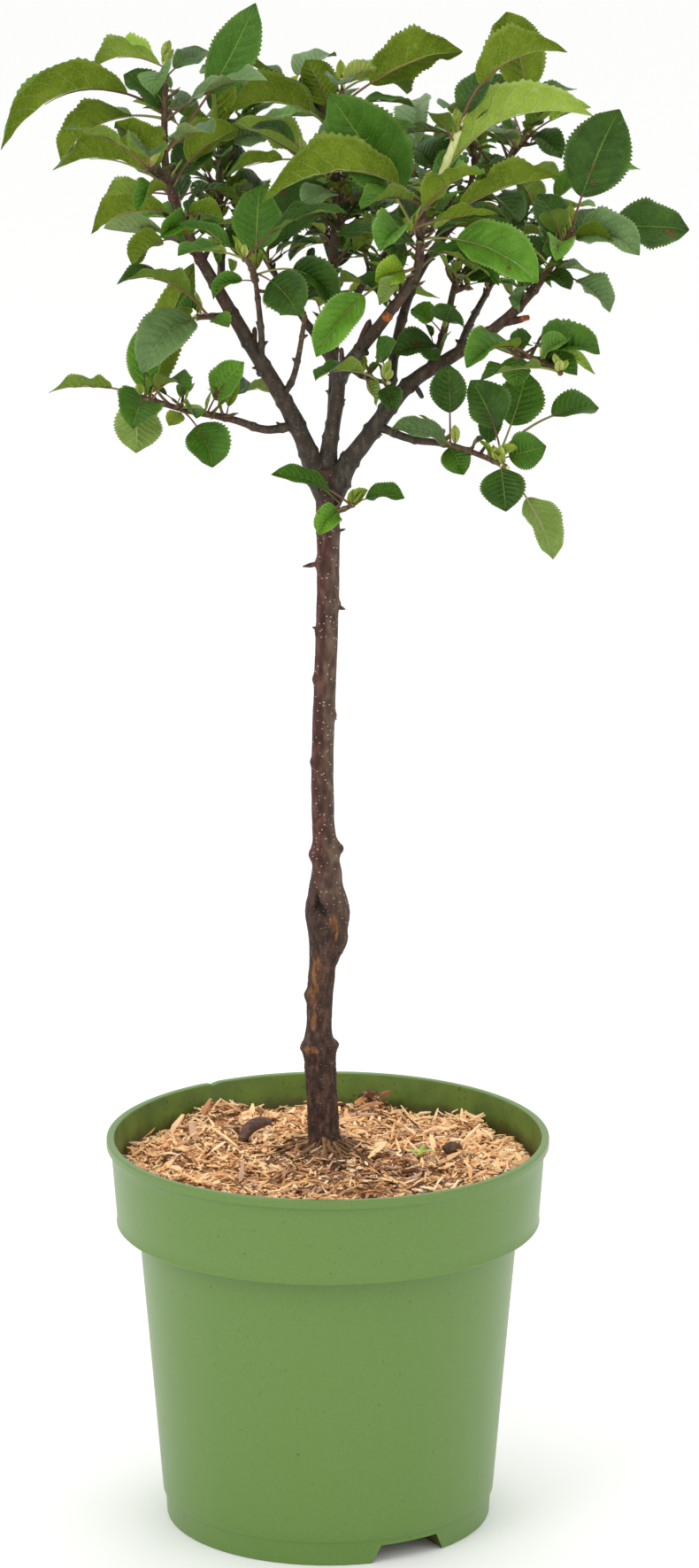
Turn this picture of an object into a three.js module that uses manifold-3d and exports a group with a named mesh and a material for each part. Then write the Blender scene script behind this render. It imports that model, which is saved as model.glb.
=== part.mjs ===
// A dwarf apple tree in a nursery pot: the pot, its filling, the trunk, the boughs, and one mass of
// foliage at the end of each bough. Millimetres, +Z up, origin at the centre of the pot's flat underside.
import * as THREE from 'three';
import { mergeVertices } from 'three/addons/utils/BufferGeometryUtils.js';
import Module from 'manifold-3d';

// ---- Driving dimensions ----

const GAP = 0.3;                 // clearance between neighbouring solids
const OVERLAP = 6;               // how far a cutting tool reaches past what it cuts

const POT = {
  rimRadius: 120, rimTop: 213.7, lipHeight: 5,
  bandTopRadius: 117.6, bandFootRadius: 114.5, bandFoot: 165.5,
  bodyTopRadius: 103, bodyFootRadius: 90.3,
  footTopRadius: 89, footRadius: 88.3, footHeight: 13,
  wall: 1.9, floor: 3, sides: 36,
};
const NOTCH = { wide: 44, narrow: 34, height: 10, depth: 12, headings: [-60, 120] };
const MIX = { edge: 194, crown: 202.4, crownRadius: 17, rings: 3 };

const TRUNK = {
  foot: 203, top: 578, sides: 10, rings: 30,
  line: [[-1.5, 0, 203], [-4.5, 0, 270], [0, 0, 325], [-1, 0, 360], [-2.7, 0, 415], [0.3, 0, 510],
    [0.3, 0, 562], [-0.5, 0, 578]],
  upperRadius: 5.6, lowerExtra: 2.2, changeHeight: 365, changeSpread: 14,
};
// Swellings of the trunk as [height, extra radius, spread]: root flare, ring knob, low bulge, graft
// union, twin knobs, bud ring and the flare under the fork.
const SWELLINGS = [
  [203, 5.5, 7], [262, 1.7, 5], [292, 0.6, 8], [331, 4.2, 13], [369, 1.6, 4.5], [544, 0.6, 6], [574, 1.5, 8],
];
// Stubs of old shoots as [height, heading, length past the bark].
const STUBS = [
  [367, 180, 3.5], [372, 0, 3], [418, 170, 2], [441, 10, 3], [464, 190, 2], [492, 180, 3.5], [502, 0, 3],
  [524, 175, 7], [543, 5, 3], [550, 200, 2],
];

// Boughs: where each springs from, its line, its radius at the root and the tip, and the share of its
// length that stays bare before it enters its mass of foliage. The first point is drawn onto the parent.
const BOUGHS = [
  { name: 'left', from: 'trunk', radius: [5.3, 1.1], bare: 0.5,
    line: [[-1, 0, 562], [-11, -2, 590], [-22, -6, 614], [-39, -12, 644], [-58, -18, 678], [-71, -22, 703],
      [-82, -27, 735], [-83, -29, 768], [-82, -30, 798]] },
  { name: 'right', from: 'trunk', radius: [5.4, 1.5], bare: 0.66,
    line: [[2, 0, 560], [9, -1, 578], [21, -3, 595], [42, -7, 623], [65, -11, 639], [90, -16, 657],
      [110, -19, 679], [128, -22, 709]] },
  { name: 'leader', from: 'trunk', radius: [4.4, 1.0], bare: 0.32,
    line: [[0, 0, 568], [1, 1, 589], [6, 3, 622], [1, 5, 642], [3, 8, 684], [5, 9, 718], [6, 11, 755], [9, 14, 784]] },
  { name: 'left_low', from: 'left', radius: [2.4, 1.2], bare: 0.36,
    line: [[-17, -4, 601], [-32, -8, 600], [-50, -16, 607], [-76, -20, 613], [-102, -24, 622]] },
  { name: 'left_spur', from: 'left', radius: [1.9, 1.3], bare: 0.45,
    line: [[-51, -15, 663], [-61, -18, 661], [-70, -22, 661]] },
  { name: 'left_rear', from: 'left', radius: [2.2, 1.1], bare: 0.3,
    line: [[-56, -17, 673], [-55, 0, 684], [-56, 24, 705], [-57, 52, 735], [-58, 68, 757]] },
  { name: 'inner_left', from: 'left', radius: [1.9, 1.1], bare: 0.55,
    line: [[-31, -9, 637], [-34, -20, 652], [-36, -31, 676], [-38, -38, 692]] },
  { name: 'inner_low', from: 'left', radius: [1.8, 1.1], bare: 0.55,
    line: [[-23, -7, 617], [-18, -12, 627], [-14, -24, 645], [-11, -37, 666]] },
  { name: 'centre_right', from: 'leader', radius: [3.8, 1.0], bare: 0.36,
    line: [[5, 3, 624], [13, -8, 637], [31, -23, 662], [46, -32, 686], [49, -38, 709], [60, -44, 741],
      [69, -48, 765]] },
  { name: 'fork', from: 'centre_right', radius: [1.6, 1.1], bare: 0.3,
    line: [[10, -5, 632], [20, -11, 628], [33, -23, 627]] },
  { name: 'rear_centre', from: 'leader', radius: [2.3, 1.2], bare: 0.36,
    line: [[2, 5, 646], [15, 20, 666], [28, 34, 683], [46, 46, 698], [60, 54, 728]] },
  { name: 'rear_left', from: 'leader', radius: [2.2, 1.1], bare: 0.55,
    line: [[3, 4, 634], [-12, 18, 654], [-31, 30, 682], [-41, 45, 699], [-46, 62, 712]] },
  { name: 'rear', from: 'leader', radius: [3.0, 1.2], bare: 0.5,
    line: [[2, 1, 598], [3, 20, 612], [4, 60, 648], [4, 85, 680], [6, 100, 714]] },
  { name: 'right_top', from: 'right', radius: [3.0, 1.4], bare: 0.5,
    line: [[28, -4, 606], [33, 6, 619], [36, 24, 639], [45, 40, 668], [61, 50, 693], [81, 62, 715], [110, 80, 747]] },
  { name: 'right_inner', from: 'right', radius: [2.3, 1.2], bare: 0.14,
    line: [[53, -9, 632], [59, 4, 643], [64, 20, 659], [69, 34, 678], [75, 43, 697]] },
  { name: 'rear_right', from: 'right', radius: [2.2, 1.1], bare: 0.5,
    line: [[69, -12, 642], [75, 18, 652], [87, 52, 668], [100, 84, 690]] },
  { name: 'right_shelf', from: 'right', radius: [1.9, 1.2], bare: 0.35,
    line: [[82, -15, 651], [88, -25, 647], [98, -38, 645], [114, -56, 643]] },
  { name: 'right_low', from: 'right', radius: [2.3, 1.2], bare: 0.45,
    line: [[27, -4, 603], [44, -14, 596], [61, -28, 596], [78, -42, 593], [94, -56, 588]] },
  { name: 'trunk_sprout', from: 'trunk', radius: [1.6, 1.0], bare: 0,
    line: [[0, 0, 554], [8, -5, 557], [15, -15, 562]] },
];
const BOUGH_STEP = 15;           // length between rings of a bough
const THICK = 3;                 // boughs thicker than this radius get more sides
const BUD = { length: 4.5, swell: 1.3 };

// Sprays: a place on or near a bough, how many leaves the growth rule adds there, and its outer leaves
// as [heading, rise, reach, width, petiole %, lift, turn]. Reach runs from the spray to the leaf's tip,
// lift is the arch above that chord, and turn rolls the blade about it. Degrees and millimetres.
const SPRAYS = {
  left: [
    { at: [-82, -30, 789], more: 2, leaves: [[158, -2, 41, 26, 8, 6, 10],
      [318, -56, 32, 15, 15, -2, -105]] },
    { at: [-83, -28, 767], more: 1, leaves: [[200, -10, 89, 34, 20, 21, 5],
      [166, 44, 30, 24, 10, 3, -30], [160, -22, 63, 28, 25, 10, 20]] },
    { at: [-81, -28, 749], more: 1, leaves: [[10, 58, 89, 24, 42, -4, 70]] },
    { at: [-83, -27, 732], more: 1, leaves: [[204, 50, 45, 26, 25, 2, 40],
      [48, 34, 39, 22, 20, 3, 30], [4, 42, 47, 26, 35, 5, -60]] },
    { at: [-83, -26, 724], more: 1, leaves: [[200, 14, 66, 30, 25, 10, 20],
      [152, -10, 40, 22, 30, 3, 40], [128, 28, 40, 13, 40, 2, -20]] },
    { at: [-76, -24, 716], more: 2, leaves: [[190, -10, 47, 25, 15, 7, 30],
      [340, 0, 24, 20, 20, 3, -30]] },
    { at: [-72, -22, 704], more: 1, leaves: [[154, 2, 50, 22, 30, 2, 40],
      [168, -26, 34, 22, 40, 6, 55], [220, 12, 28, 20, 20, 6, -45]] },
    { at: [-92, -60, 742], more: 3, leaves: [] },
  ],
  right: [
    { at: [128, -22, 708], more: 1, leaves: [[14, 68, 68, 34, 28, 2, 70],
      [6, 2, 63, 27, 34, 3, 60], [326, -6, 44, 26, 10, 6, 40], [44, 12, 36, 20, 12, 3, 25],
      [134, 52, 31, 20, 10, 2, -35]] },
    { at: [124, -21, 699], more: 1, leaves: [[308, 4, 35, 15, 20, 3, -30]] },
    { at: [114, -20, 684], more: 1, leaves: [[134, 14, 26, 22, 15, 3, -35],
      [336, -28, 40, 22, 40, 5, 15], [302, -12, 24, 14, 10, 2, 25]] },
    { at: [100, -18, 669], more: 1, leaves: [[254, 16, 24, 15, 10, 2, -100]] },
    { at: [120, -52, 698], more: 2, leaves: [] },
  ],
  leader: [
    { at: [8, 13, 778], more: 2, leaves: [[336, 28, 22, 14, 10, 2, -45]] },
    { at: [8, 13, 767], more: 2, leaves: [[352, 26, 71, 31, 27, 5, -60]] },
    { at: [7, 11, 752], more: 2, leaves: [[198, 14, 62, 28, 30, 11, 30],
      [166, 68, 45, 23, 42, 2, 90], [158, 38, 53, 20, 35, 4, 45], [118, 24, 42, 22, 25, 3, 65]] },
    { at: [5, 10, 728], more: 2, leaves: [[204, -40, 51, 30, 10, 3, -40],
      [166, 30, 64, 24, 30, 3, 55]] },
    { at: [4, 9, 707], more: 3, leaves: [[50, 18, 33, 20, 20, 4, 25]] },
    { at: [15, 24, 710], more: 3, leaves: [[54, 26, 30, 18, 25, 2, 25]] },
    { at: [3, 8, 675], more: 3, leaves: [] },
    { at: [-14, -22, 742], more: 3, leaves: [] },
    { at: [-26, 34, 770], more: 4, leaves: [] },
  ],
  left_low: [
    { at: [-101, -24, 622], more: 1, leaves: [[190, 4, 47, 24, 30, 4, 20],
      [258, -66, 30, 29, 5, 3, 165], [96, 78, 38, 18, 10, 2, -5]] },
    { at: [-92, -23, 621], more: 1, leaves: [[54, 60, 76, 27, 4, 4, -140]] },
    { at: [-76, -20, 613], more: 1, leaves: [[320, -52, 36, 26, 35, 4, 40],
      [242, -20, 17, 10, 20, 0, -25]] },
    { at: [-62, -18, 612], more: 1, leaves: [[328, 52, 37, 18, 25, 2, 80]] },
  ],
  left_spur: [
    { at: [-68, -22, 660], more: 1, leaves: [[232, -26, 52, 28, 10, 7, -30],
      [74, 86, 29, 12, 30, 2, -20], [166, 12, 17, 14, 20, 3, -20], [308, -10, 18, 12, 25, 1, 25]] },
  ],
  left_rear: [
    { at: [-56, 22, 705], more: 3, leaves: [[110, 14, 33, 20, 25, 6, -10],
      [314, -50, 22, 18, 20, 3, 25]] },
    { at: [-57, 40, 724], more: 3, leaves: [[46, 20, 27, 22, 20, 5, 25]] },
    { at: [-58, 52, 739], more: 4, leaves: [[10, 14, 28, 20, 25, 4, 50],
      [134, 80, 49, 22, 30, 3, 100], [144, 18, 25, 18, 30, 3, -35]] },
    { at: [-76, 70, 742], more: 4, leaves: [] },
    { at: [-40, 64, 748], more: 4, leaves: [] },
  ],
  inner_left: [
    { at: [-38, -36, 685], more: 1, leaves: [[322, -34, 35, 26, 30, 4, 50],
      [2, -20, 43, 24, 40, 10, 60], [60, 84, 48, 26, 30, 1, 25], [142, -24, 25, 14, 25, 4, -45]] },
    { at: [-42, -68, 698], more: 3, leaves: [] },
  ],
  inner_low: [
    { at: [-11, -36, 663], more: 1, leaves: [[228, 14, 19, 14, 20, 3, -45],
      [262, 72, 38, 16, 30, 2, 5]] },
  ],
  centre_right: [
    { at: [66, -47, 759], more: 1, leaves: [[346, 38, 72, 30, 34, 14, -40],
      [28, 58, 39, 18, 30, 3, 30], [46, 36, 38, 16, 30, 3, 25]] },
    { at: [60, -43, 729], more: 1, leaves: [[348, 26, 89, 40, 16, 18, -35],
      [34, 40, 28, 18, 20, 3, 30]] },
    { at: [52, -40, 719], more: 1, leaves: [[202, 4, 92, 36, 20, 18, 30]] },
    { at: [52, -37, 706], more: 1, leaves: [[12, 22, 79, 26, 30, 6, -40],
      [336, -16, 68, 28, 28, 8, 55], [194, 58, 91, 39, 28, 2, -90]] },
    { at: [49, -36, 701], more: 1, leaves: [[166, 8, 45, 20, 6, 3, -20],
      [348, -22, 45, 20, 15, 5, 30]] },
    { at: [46, -33, 690], more: 1, leaves: [[206, -36, 72, 22, 45, 8, -55],
      [210, -10, 25, 20, 30, 2, -65], [224, -22, 34, 14, 40, 3, 90]] },
    { at: [42, -74, 712], more: 3, leaves: [] },
  ],
  fork: [
    { at: [31, -22, 628], more: 1, leaves: [[256, 68, 27, 16, 40, 2, -115],
      [296, -44, 19, 14, 25, 2, 20]] },
    { at: [18, -9, 629], more: 1, leaves: [[294, -40, 20, 14, 10, 1, -90]] },
  ],
  rear_centre: [
    { at: [60, 54, 726], more: 4, leaves: [[12, 52, 33, 18, 20, 3, 45],
      [128, 36, 25, 22, 25, 4, -25]] },
    { at: [47, 46, 699], more: 3, leaves: [[124, 14, 25, 18, 20, 3, -25]] },
    { at: [31, 38, 687], more: 3, leaves: [[192, -52, 31, 22, 25, 5, -55]] },
    { at: [44, 82, 722], more: 4, leaves: [] },
    { at: [70, 66, 700], more: 3, leaves: [] },
  ],
  rear_left: [
    { at: [-44, 55, 706], more: 5, leaves: [[60, 32, 24, 20, 20, 4, 15],
      [112, 16, 27, 20, 20, 4, -20]] },
    { at: [-38, 36, 692], more: 4, leaves: [[62, 4, 29, 18, 20, 3, 30]] },
    { at: [-62, 72, 716], more: 4, leaves: [] },
    { at: [-28, 74, 700], more: 4, leaves: [] },
  ],
  rear: [
    { at: [4, 70, 662], more: 5, leaves: [] },
    { at: [5, 88, 688], more: 5, leaves: [] },
    { at: [6, 99, 711], more: 6, leaves: [] },
    { at: [-22, 92, 694], more: 4, leaves: [] },
    { at: [30, 96, 696], more: 4, leaves: [] },
  ],
  right_top: [
    { at: [110, 80, 746], more: 3, leaves: [[204, 78, 67, 36, 34, 3, 60],
      [314, -20, 27, 18, 15, 4, 30], [36, 48, 36, 16, 55, 2, 40], [132, 54, 42, 15, 60, 2, -30],
      [10, 26, 42, 18, 45, 4, 20]] },
    { at: [98, 74, 731], more: 3, leaves: [[106, 18, 33, 18, 25, 4, -10]] },
    { at: [78, 60, 709], more: 4, leaves: [[38, 26, 36, 20, 20, 4, 25]] },
    { at: [92, 92, 716], more: 4, leaves: [] },
    { at: [72, 24, 752], more: 3, leaves: [] },
  ],
  right_inner: [
    { at: [57, 0, 640], more: 0, leaves: [[204, -2, 25, 20, 10, 3, -40],
      [294, -2, 30, 18, 15, 3, 40]] },
    { at: [61, 12, 648], more: 0, leaves: [[284, 42, 25, 20, 30, 2, 150],
      [160, 36, 22, 16, 40, 2, -35]] },
    { at: [77, 32, 668], more: 1, leaves: [[24, 36, 19, 16, 20, 2, 35]] },
    { at: [75, 42, 694], more: 3, leaves: [[128, 22, 24, 18, 20, 3, -20]] },
  ],
  rear_right: [
    { at: [92, 62, 676], more: 5, leaves: [] },
    { at: [99, 82, 689], more: 6, leaves: [] },
    { at: [118, 70, 700], more: 4, leaves: [] },
  ],
  right_shelf: [
    { at: [112, -54, 643], more: 1, leaves: [[352, 44, 22, 22, 25, 3, 40],
      [334, 10, 32, 24, 10, 5, 35], [294, 24, 36, 14, 10, 2, 75], [18, -16, 34, 15, 10, 3, 25],
      [306, -12, 28, 16, 10, 2, 40]] },
    { at: [98, -38, 645], more: 0, leaves: [[266, -64, 18, 16, 10, 1, -5],
      [308, 38, 16, 14, 20, 1, 75]] },
    { at: [120, -76, 640], more: 1, leaves: [] },
  ],
  right_low: [
    { at: [65, -30, 596], more: 0, leaves: [[200, 18, 36, 20, 10, 3, -30],
      [100, 82, 42, 19, 40, 1, -5], [310, -48, 19, 17, 10, 1, 35]] },
    { at: [85, -48, 590], more: 0, leaves: [[22, 22, 64, 20, 60, 8, 30]] },
    { at: [92, -54, 589], more: 1, leaves: [[152, 68, 47, 24, 42, 3, -50],
      [278, -50, 28, 23, 10, 1, 10], [8, -60, 59, 22, 40, 4, -60], [50, 60, 51, 25, 42, -2, 35],
      [340, 18, 30, 20, 30, 0, 80], [318, 24, 20, 9, 10, 1, 50]] },
  ],
  trunk_sprout: [
    { at: [13, -13, 561], more: 0, leaves: [[198, 24, 48, 17, 30, 4, -30],
      [348, 12, 30, 17, 30, 3, 25], [226, -28, 25, 16, 30, 4, -50], [338, 42, 15, 9, 10, 1, 60],
      [40, 74, 11, 8, 10, 1, 25]] },
  ],
};

// ---- Growth rule ----

const GOLDEN_ANGLE = 137.5;
const DEPTH_BIAS = 1.8;          // added leaves turn more to the front and the back than to the sides
const RULE_LEAF = { rise: [-8, 48], reach: [34, 34], slimness: [0.42, 0.16], petiole: [20, 12], arch: [0.05, 0.12] };
// Where along its blade a leaf has rings: a large, a middling and a small leaf.
const BLADE_RINGS = { large: [0, 0.2, 0.5, 0.8, 1], middling: [0, 0.3, 0.72, 1], small: [0, 0.42, 1] };
const LARGE_REACH = 50;
const SMALL_REACH = 27;
const LEAF = { fold: 10, archFold: 150, thickness: 0.9, petioleRadius: 0.85, cell: 7, petioleCell: 8 };
const TWIG = { sides: 4, rootRadius: 1.6, tipRadius: 1.15, reach: 5, slide: 0.35, pitch: 1.7 };
// How far a leaf keeps from other masses, from leaves of its own mass, and from wood.
const PLACED = { otherMass: 5.5, sameMass: 1.5, wood: 3.5, ownWood: 0.5 };
const ADDED = { otherMass: 8, sameMass: 6, wood: 4, ownWood: 2 };
const BARE_CLEAR = 2;             // more for the bare part of a leaf's own bough
const ASIDE = [0, 8, -8, 16, -16, 24, -24];   // turns that a leaf tries when its way is blocked
const TRIES = 6;
const TRY_TURN = 50;

const SEED = { spray: 12.9898, leaf: 78.233, use: 37.719, scale: 43758.5453 };
const degrees = Math.PI / 180;

// A repeatable number from 0 to 1 for one use on one leaf of one spray.
function chance(spray, leaf, use) {
  const value = Math.sin(spray * SEED.spray + leaf * SEED.leaf + use * SEED.use) * SEED.scale;
  return value - Math.floor(value);
}

// A smooth line through points, as closely spaced points with the length up to each.
function smoothLine(points, steps = 8) {
  const curve = new THREE.CatmullRomCurve3(points.map((p) => new THREE.Vector3(...p)), false, 'catmullrom', 0.5);
  const dots = curve.getPoints(steps * (points.length - 1));
  const reached = [0];
  for (let i = 1; i < dots.length; i += 1) reached.push(reached[i - 1] + dots[i].distanceTo(dots[i - 1]));
  return { dots, reached, length: reached[reached.length - 1] };
}

function pointAt(line, share) {
  const distance = THREE.MathUtils.clamp(share, 0, 1) * line.length;
  let i = 1;
  while (i < line.dots.length - 1 && line.reached[i] < distance) i += 1;
  const part = (distance - line.reached[i - 1]) / (line.reached[i] - line.reached[i - 1]);
  return line.dots[i - 1].clone().lerp(line.dots[i], part);
}

function directionAt(line, share) {
  const step = 2 / line.length;
  return pointAt(line, share + step).sub(pointAt(line, share - step)).normalize();
}

// The share of a line's length whose point is nearest to a place.
function nearestShare(line, place) {
  let best = 0;
  for (let i = 0; i < line.dots.length; i += 1) {
    if (line.dots[i].distanceTo(place) < line.dots[best].distanceTo(place)) best = i;
  }
  return line.reached[best] / line.length;
}

const radiusAt = (bough, share) => THREE.MathUtils.lerp(bough.radius[0], bough.radius[1], share);

// The middle line and edge directions of one leaf, from its root on the twig to its tip.
function leafFrame(leaf) {
  const [heading, rise] = [leaf.heading * degrees, leaf.rise * degrees];
  const along = new THREE.Vector3(
    Math.cos(rise) * Math.cos(heading), Math.cos(rise) * Math.sin(heading), Math.sin(rise));
  const side = new THREE.Vector3(Math.sin(heading), -Math.cos(heading), 0);
  const lifted = side.clone().cross(along);
  const [c, s] = [Math.cos(leaf.turn * degrees), Math.sin(leaf.turn * degrees)];
  return (u) => {
    const centre = leaf.root.clone().addScaledVector(along, leaf.reach * u)
      .addScaledVector(lifted, 4 * leaf.lift * u * (1 - u));
    const tangent = along.clone().multiplyScalar(leaf.reach)
      .addScaledVector(lifted, 4 * leaf.lift * (1 - 2 * u)).normalize();
    const normal = side.clone().cross(tangent);
    const across = side.clone().multiplyScalar(c).addScaledVector(normal, -s);
    const face = normal.multiplyScalar(c).addScaledVector(side, s);
    return { centre, across, face };
  };
}

// Half the blade's width at a share of the blade's length.
const bladeHalf = (leaf, v) => 0.5 * leaf.width * Math.sin(Math.PI * v ** 0.8) ** 0.7;

// How far each half of a blade is folded up: more on a leaf that arches more.
const foldOf = (leaf) => (LEAF.fold + LEAF.archFold * Math.max(0, leaf.lift) / leaf.reach) * degrees;

// Points spread over a leaf that stand for it where spacing is tested.
function leafDots(leaf) {
  const frame = leafFrame(leaf);
  const stalk = leaf.petiole * leaf.reach;
  const dots = [];
  for (let d = LEAF.petioleCell; d < stalk; d += LEAF.petioleCell) {
    dots.push({ place: frame(d / leaf.reach).centre, blade: false });
  }
  const rows = Math.max(2, Math.ceil((leaf.reach - stalk) / LEAF.cell));
  for (let row = 1; row <= rows; row += 1) {
    const v = (row - 0.5) / rows;
    const { centre, across, face } = frame(leaf.petiole + (1 - leaf.petiole) * v);
    const half = bladeHalf(leaf, v);
    across.multiplyScalar(half * Math.cos(foldOf(leaf)));
    face.multiplyScalar(half * Math.sin(foldOf(leaf)));
    const columns = Math.max(1, Math.ceil(half / LEAF.cell));
    for (let column = -columns; column <= columns; column += 1) {
      const out = column / columns;
      const place = centre.clone().addScaledVector(across, out).addScaledVector(face, Math.abs(out));
      dots.push({ place, blade: true });
    }
  }
  return dots;
}

const boughs = new Map();
for (const spec of BOUGHS) {
  const points = spec.line.map((p) => [...p]);
  const parent = boughs.get(spec.from);
  if (parent) {
    const start = pointAt(parent.line, nearestShare(parent.line, new THREE.Vector3(...points[0])));
    points[0] = start.toArray();
  }
  boughs.set(spec.name, { ...spec, line: smoothLine(points), twigs: [], leaves: [] });
}

// Wood that leaves keep clear of, as points with a radius.
const wood = [];
for (const bough of boughs.values()) {
  const count = Math.ceil(bough.line.length / 4);
  for (let i = 0; i <= count; i += 1) {
    const share = i / count;
    wood.push({ bough, place: pointAt(bough.line, share), radius: radiusAt(bough, share), bare: share < bough.bare });
  }
}
const trunkLine = smoothLine(TRUNK.line);

// A short twig from a bough out to a spray that stands off it.
function growTwig(bough, place, share) {
  const distance = pointAt(bough.line, share).distanceTo(place);
  const rootShare = Math.max(bough.bare + 2 / bough.line.length, share - TWIG.slide * distance / bough.line.length);
  const root = pointAt(bough.line, rootShare);
  const knee = root.clone().lerp(place, 0.5).addScaledVector(directionAt(bough.line, rootShare), 0.15 * distance);
  return { line: smoothLine([root.toArray(), knee.toArray(), place.toArray()]),
    radius: [TWIG.rootRadius, TWIG.tipRadius] };
}

function isClear(bough, leaf, dots, clear) {
  for (const grown of accepted) {
    const limit = grown.bough === bough ? clear.sameMass : clear.otherMass;
    const reach = limit + leaf.reach + grown.leaf.reach;
    if (leaf.root.distanceTo(grown.leaf.root) > reach) continue;
    for (const a of dots) {
      for (const b of grown.dots) {
        if (grown.bough === bough && !(a.blade && b.blade)) continue;
        if (a.place.distanceTo(b.place) < limit) return false;
      }
    }
  }
  for (const { place, blade } of dots) {
    for (const piece of wood) {
      const own = piece.bough === bough;
      if (own && !blade && !piece.bare) continue;
      const limit = piece.radius + (own ? clear.ownWood : clear.wood) + (own && piece.bare ? BARE_CLEAR : 0);
      if (place.distanceTo(piece.place) < limit) return false;
    }
  }
  return true;
}

const accepted = [];
function tryLeaf(bough, leaf, clear) {
  const dots = leafDots(leaf);
  if (!isClear(bough, leaf, dots, clear)) return false;
  accepted.push({ bough, leaf, dots });
  bough.leaves.push(leaf);
  return true;
}

// Where the leaves of each spray are rooted: one below the other down the twig or the bough.
const sprays = [];
for (const bough of boughs.values()) {
  for (const { at, more, leaves } of SPRAYS[bough.name]) {
    const place = new THREE.Vector3(...at);
    const share = nearestShare(bough.line, place);
    let line = bough.line;
    let topShare = Math.min(share, 1 - BUD.length / line.length);
    if (pointAt(bough.line, share).distanceTo(place) > TWIG.reach) {
      const twig = growTwig(bough, place, share);
      bough.twigs.push(twig);
      line = twig.line;
      topShare = 1 - BUD.length / line.length;
      wood.push({ bough, place: pointAt(line, 0.5), radius: TWIG.rootRadius, bare: false });
      wood.push({ bough, place: pointAt(line, 1), radius: TWIG.tipRadius, bare: false });
    }
    const lowest = line === bough.line ? bough.bare + 3 / line.length : 0.25;
    const rootOf = (k) => pointAt(line, Math.max(lowest, topShare - k * TWIG.pitch / line.length));
    sprays.push({ bough, more, leaves, rootOf, number: sprays.length + 1 });
  }
}

for (const { bough, leaves, rootOf } of sprays) {
  leaves.forEach(([heading, rise, reach, width, petiole, lift, turn], k) => {
    ASIDE.some((aside) => tryLeaf(bough, {
      root: rootOf(k), heading: heading + aside, rise, reach, width, petiole: petiole / 100, lift, turn,
    }, PLACED));
  });
}

for (const { bough, more, leaves, rootOf, number } of sprays) {
  for (let k = 0; k < more; k += 1) {
    const draw = (use, [low, span]) => low + span * chance(number, k, use);
    for (let attempt = 0; attempt < TRIES; attempt += 1) {
      const around = (GOLDEN_ANGLE * k + 360 * chance(number, 0, 1) + TRY_TURN * attempt) * degrees;
      const reach = draw(3, RULE_LEAF.reach);
      const petiole = draw(5, RULE_LEAF.petiole) / 100;
      const leaf = {
        root: rootOf(leaves.length + k),
        heading: Math.atan2(DEPTH_BIAS * Math.sin(around), Math.cos(around)) / degrees,
        rise: draw(2 + 10 * attempt, RULE_LEAF.rise), reach, petiole,
        width: reach * (1 - petiole) * draw(4, RULE_LEAF.slimness),
        lift: reach * draw(6, RULE_LEAF.arch), turn: draw(7, [-25, 50]),
      };
      if (tryLeaf(bough, leaf, ADDED)) break;
    }
  }
}

// ---- Solids ----

const wasm = await Module();
wasm.setup();

function toSolid(geometry) {
  const bare = geometry.clone();
  bare.deleteAttribute('normal');
  bare.deleteAttribute('uv');
  const merged = mergeVertices(bare, 1e-4);
  const corners = merged.index.array;
  const kept = [];
  for (let i = 0; i < corners.length; i += 3) {
    const [a, b, c] = [corners[i], corners[i + 1], corners[i + 2]];
    if (a !== b && b !== c && c !== a) kept.push(a, b, c);
  }
  return new wasm.Manifold(new wasm.Mesh({
    numProp: 3, vertProperties: new Float32Array(merged.attributes.position.array), triVerts: new Uint32Array(kept),
  }));
}

// The largest single body of a solid, so that loose scrap is dropped.
function mainBody(whole) {
  return whole.decompose().reduce((best, body) => (body.volume() > best.volume() ? body : best));
}

function toMesh(name, whole, colour, roughness) {
  const { vertProperties, triVerts } = mainBody(whole).getMesh();
  const geometry = new THREE.BufferGeometry();
  geometry.setAttribute('position', new THREE.BufferAttribute(new Float32Array(vertProperties), 3));
  geometry.setIndex(new THREE.BufferAttribute(new Uint32Array(triVerts), 1));
  geometry.computeVertexNormals();
  const mesh = new THREE.Mesh(geometry, new THREE.MeshStandardMaterial({ color: colour, roughness, metalness: 0 }));
  mesh.name = name;
  return mesh;
}

// A closed body made of rings. ringPoint(ring, x, z) places a corner of a unit circle on that ring.
function ringed(sides, rings, pointed, ringPoint) {
  const geometry = new THREE.CylinderGeometry(pointed ? 0 : 1, 1, 1, sides, rings);
  const positions = geometry.attributes.position;
  for (let i = 0; i < positions.count; i += 1) {
    const [x, y, z] = [positions.getX(i), positions.getY(i), positions.getZ(i)];
    const out = Math.hypot(x, z);
    const scale = out > 1e-6 ? 1 / out : 0;
    positions.setXYZ(i, ...ringPoint(Math.round((y + 0.5) * rings), x * scale, z * scale).toArray());
  }
  return toSolid(geometry);
}

// A round limb along a line between two shares of its length, its end flat or closed as a bud.
function limb(line, radiusOf, from, to, sides, step, bud) {
  const shares = [];
  const bare = bud ? to - BUD.length / line.length : to;
  const rings = Math.max(1, Math.ceil((bare - from) * line.length / step));
  for (let i = 0; i <= rings; i += 1) shares.push(from + (bare - from) * i / rings);
  if (bud) shares.push(to);
  const reference = new THREE.Vector3(0.8, -0.6, 0);
  return ringed(sides, shares.length - 1, bud, (ring, x, z) => {
    const tangent = directionAt(line, shares[ring]);
    const across = reference.clone().addScaledVector(tangent, -reference.dot(tangent)).normalize();
    const swell = bud && ring === shares.length - 2 ? BUD.swell : 1;
    const radius = radiusOf(shares[ring]) * swell;
    return pointAt(line, shares[ring]).addScaledVector(across, x * radius)
      .addScaledVector(across.clone().cross(tangent), z * radius);
  });
}

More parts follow.
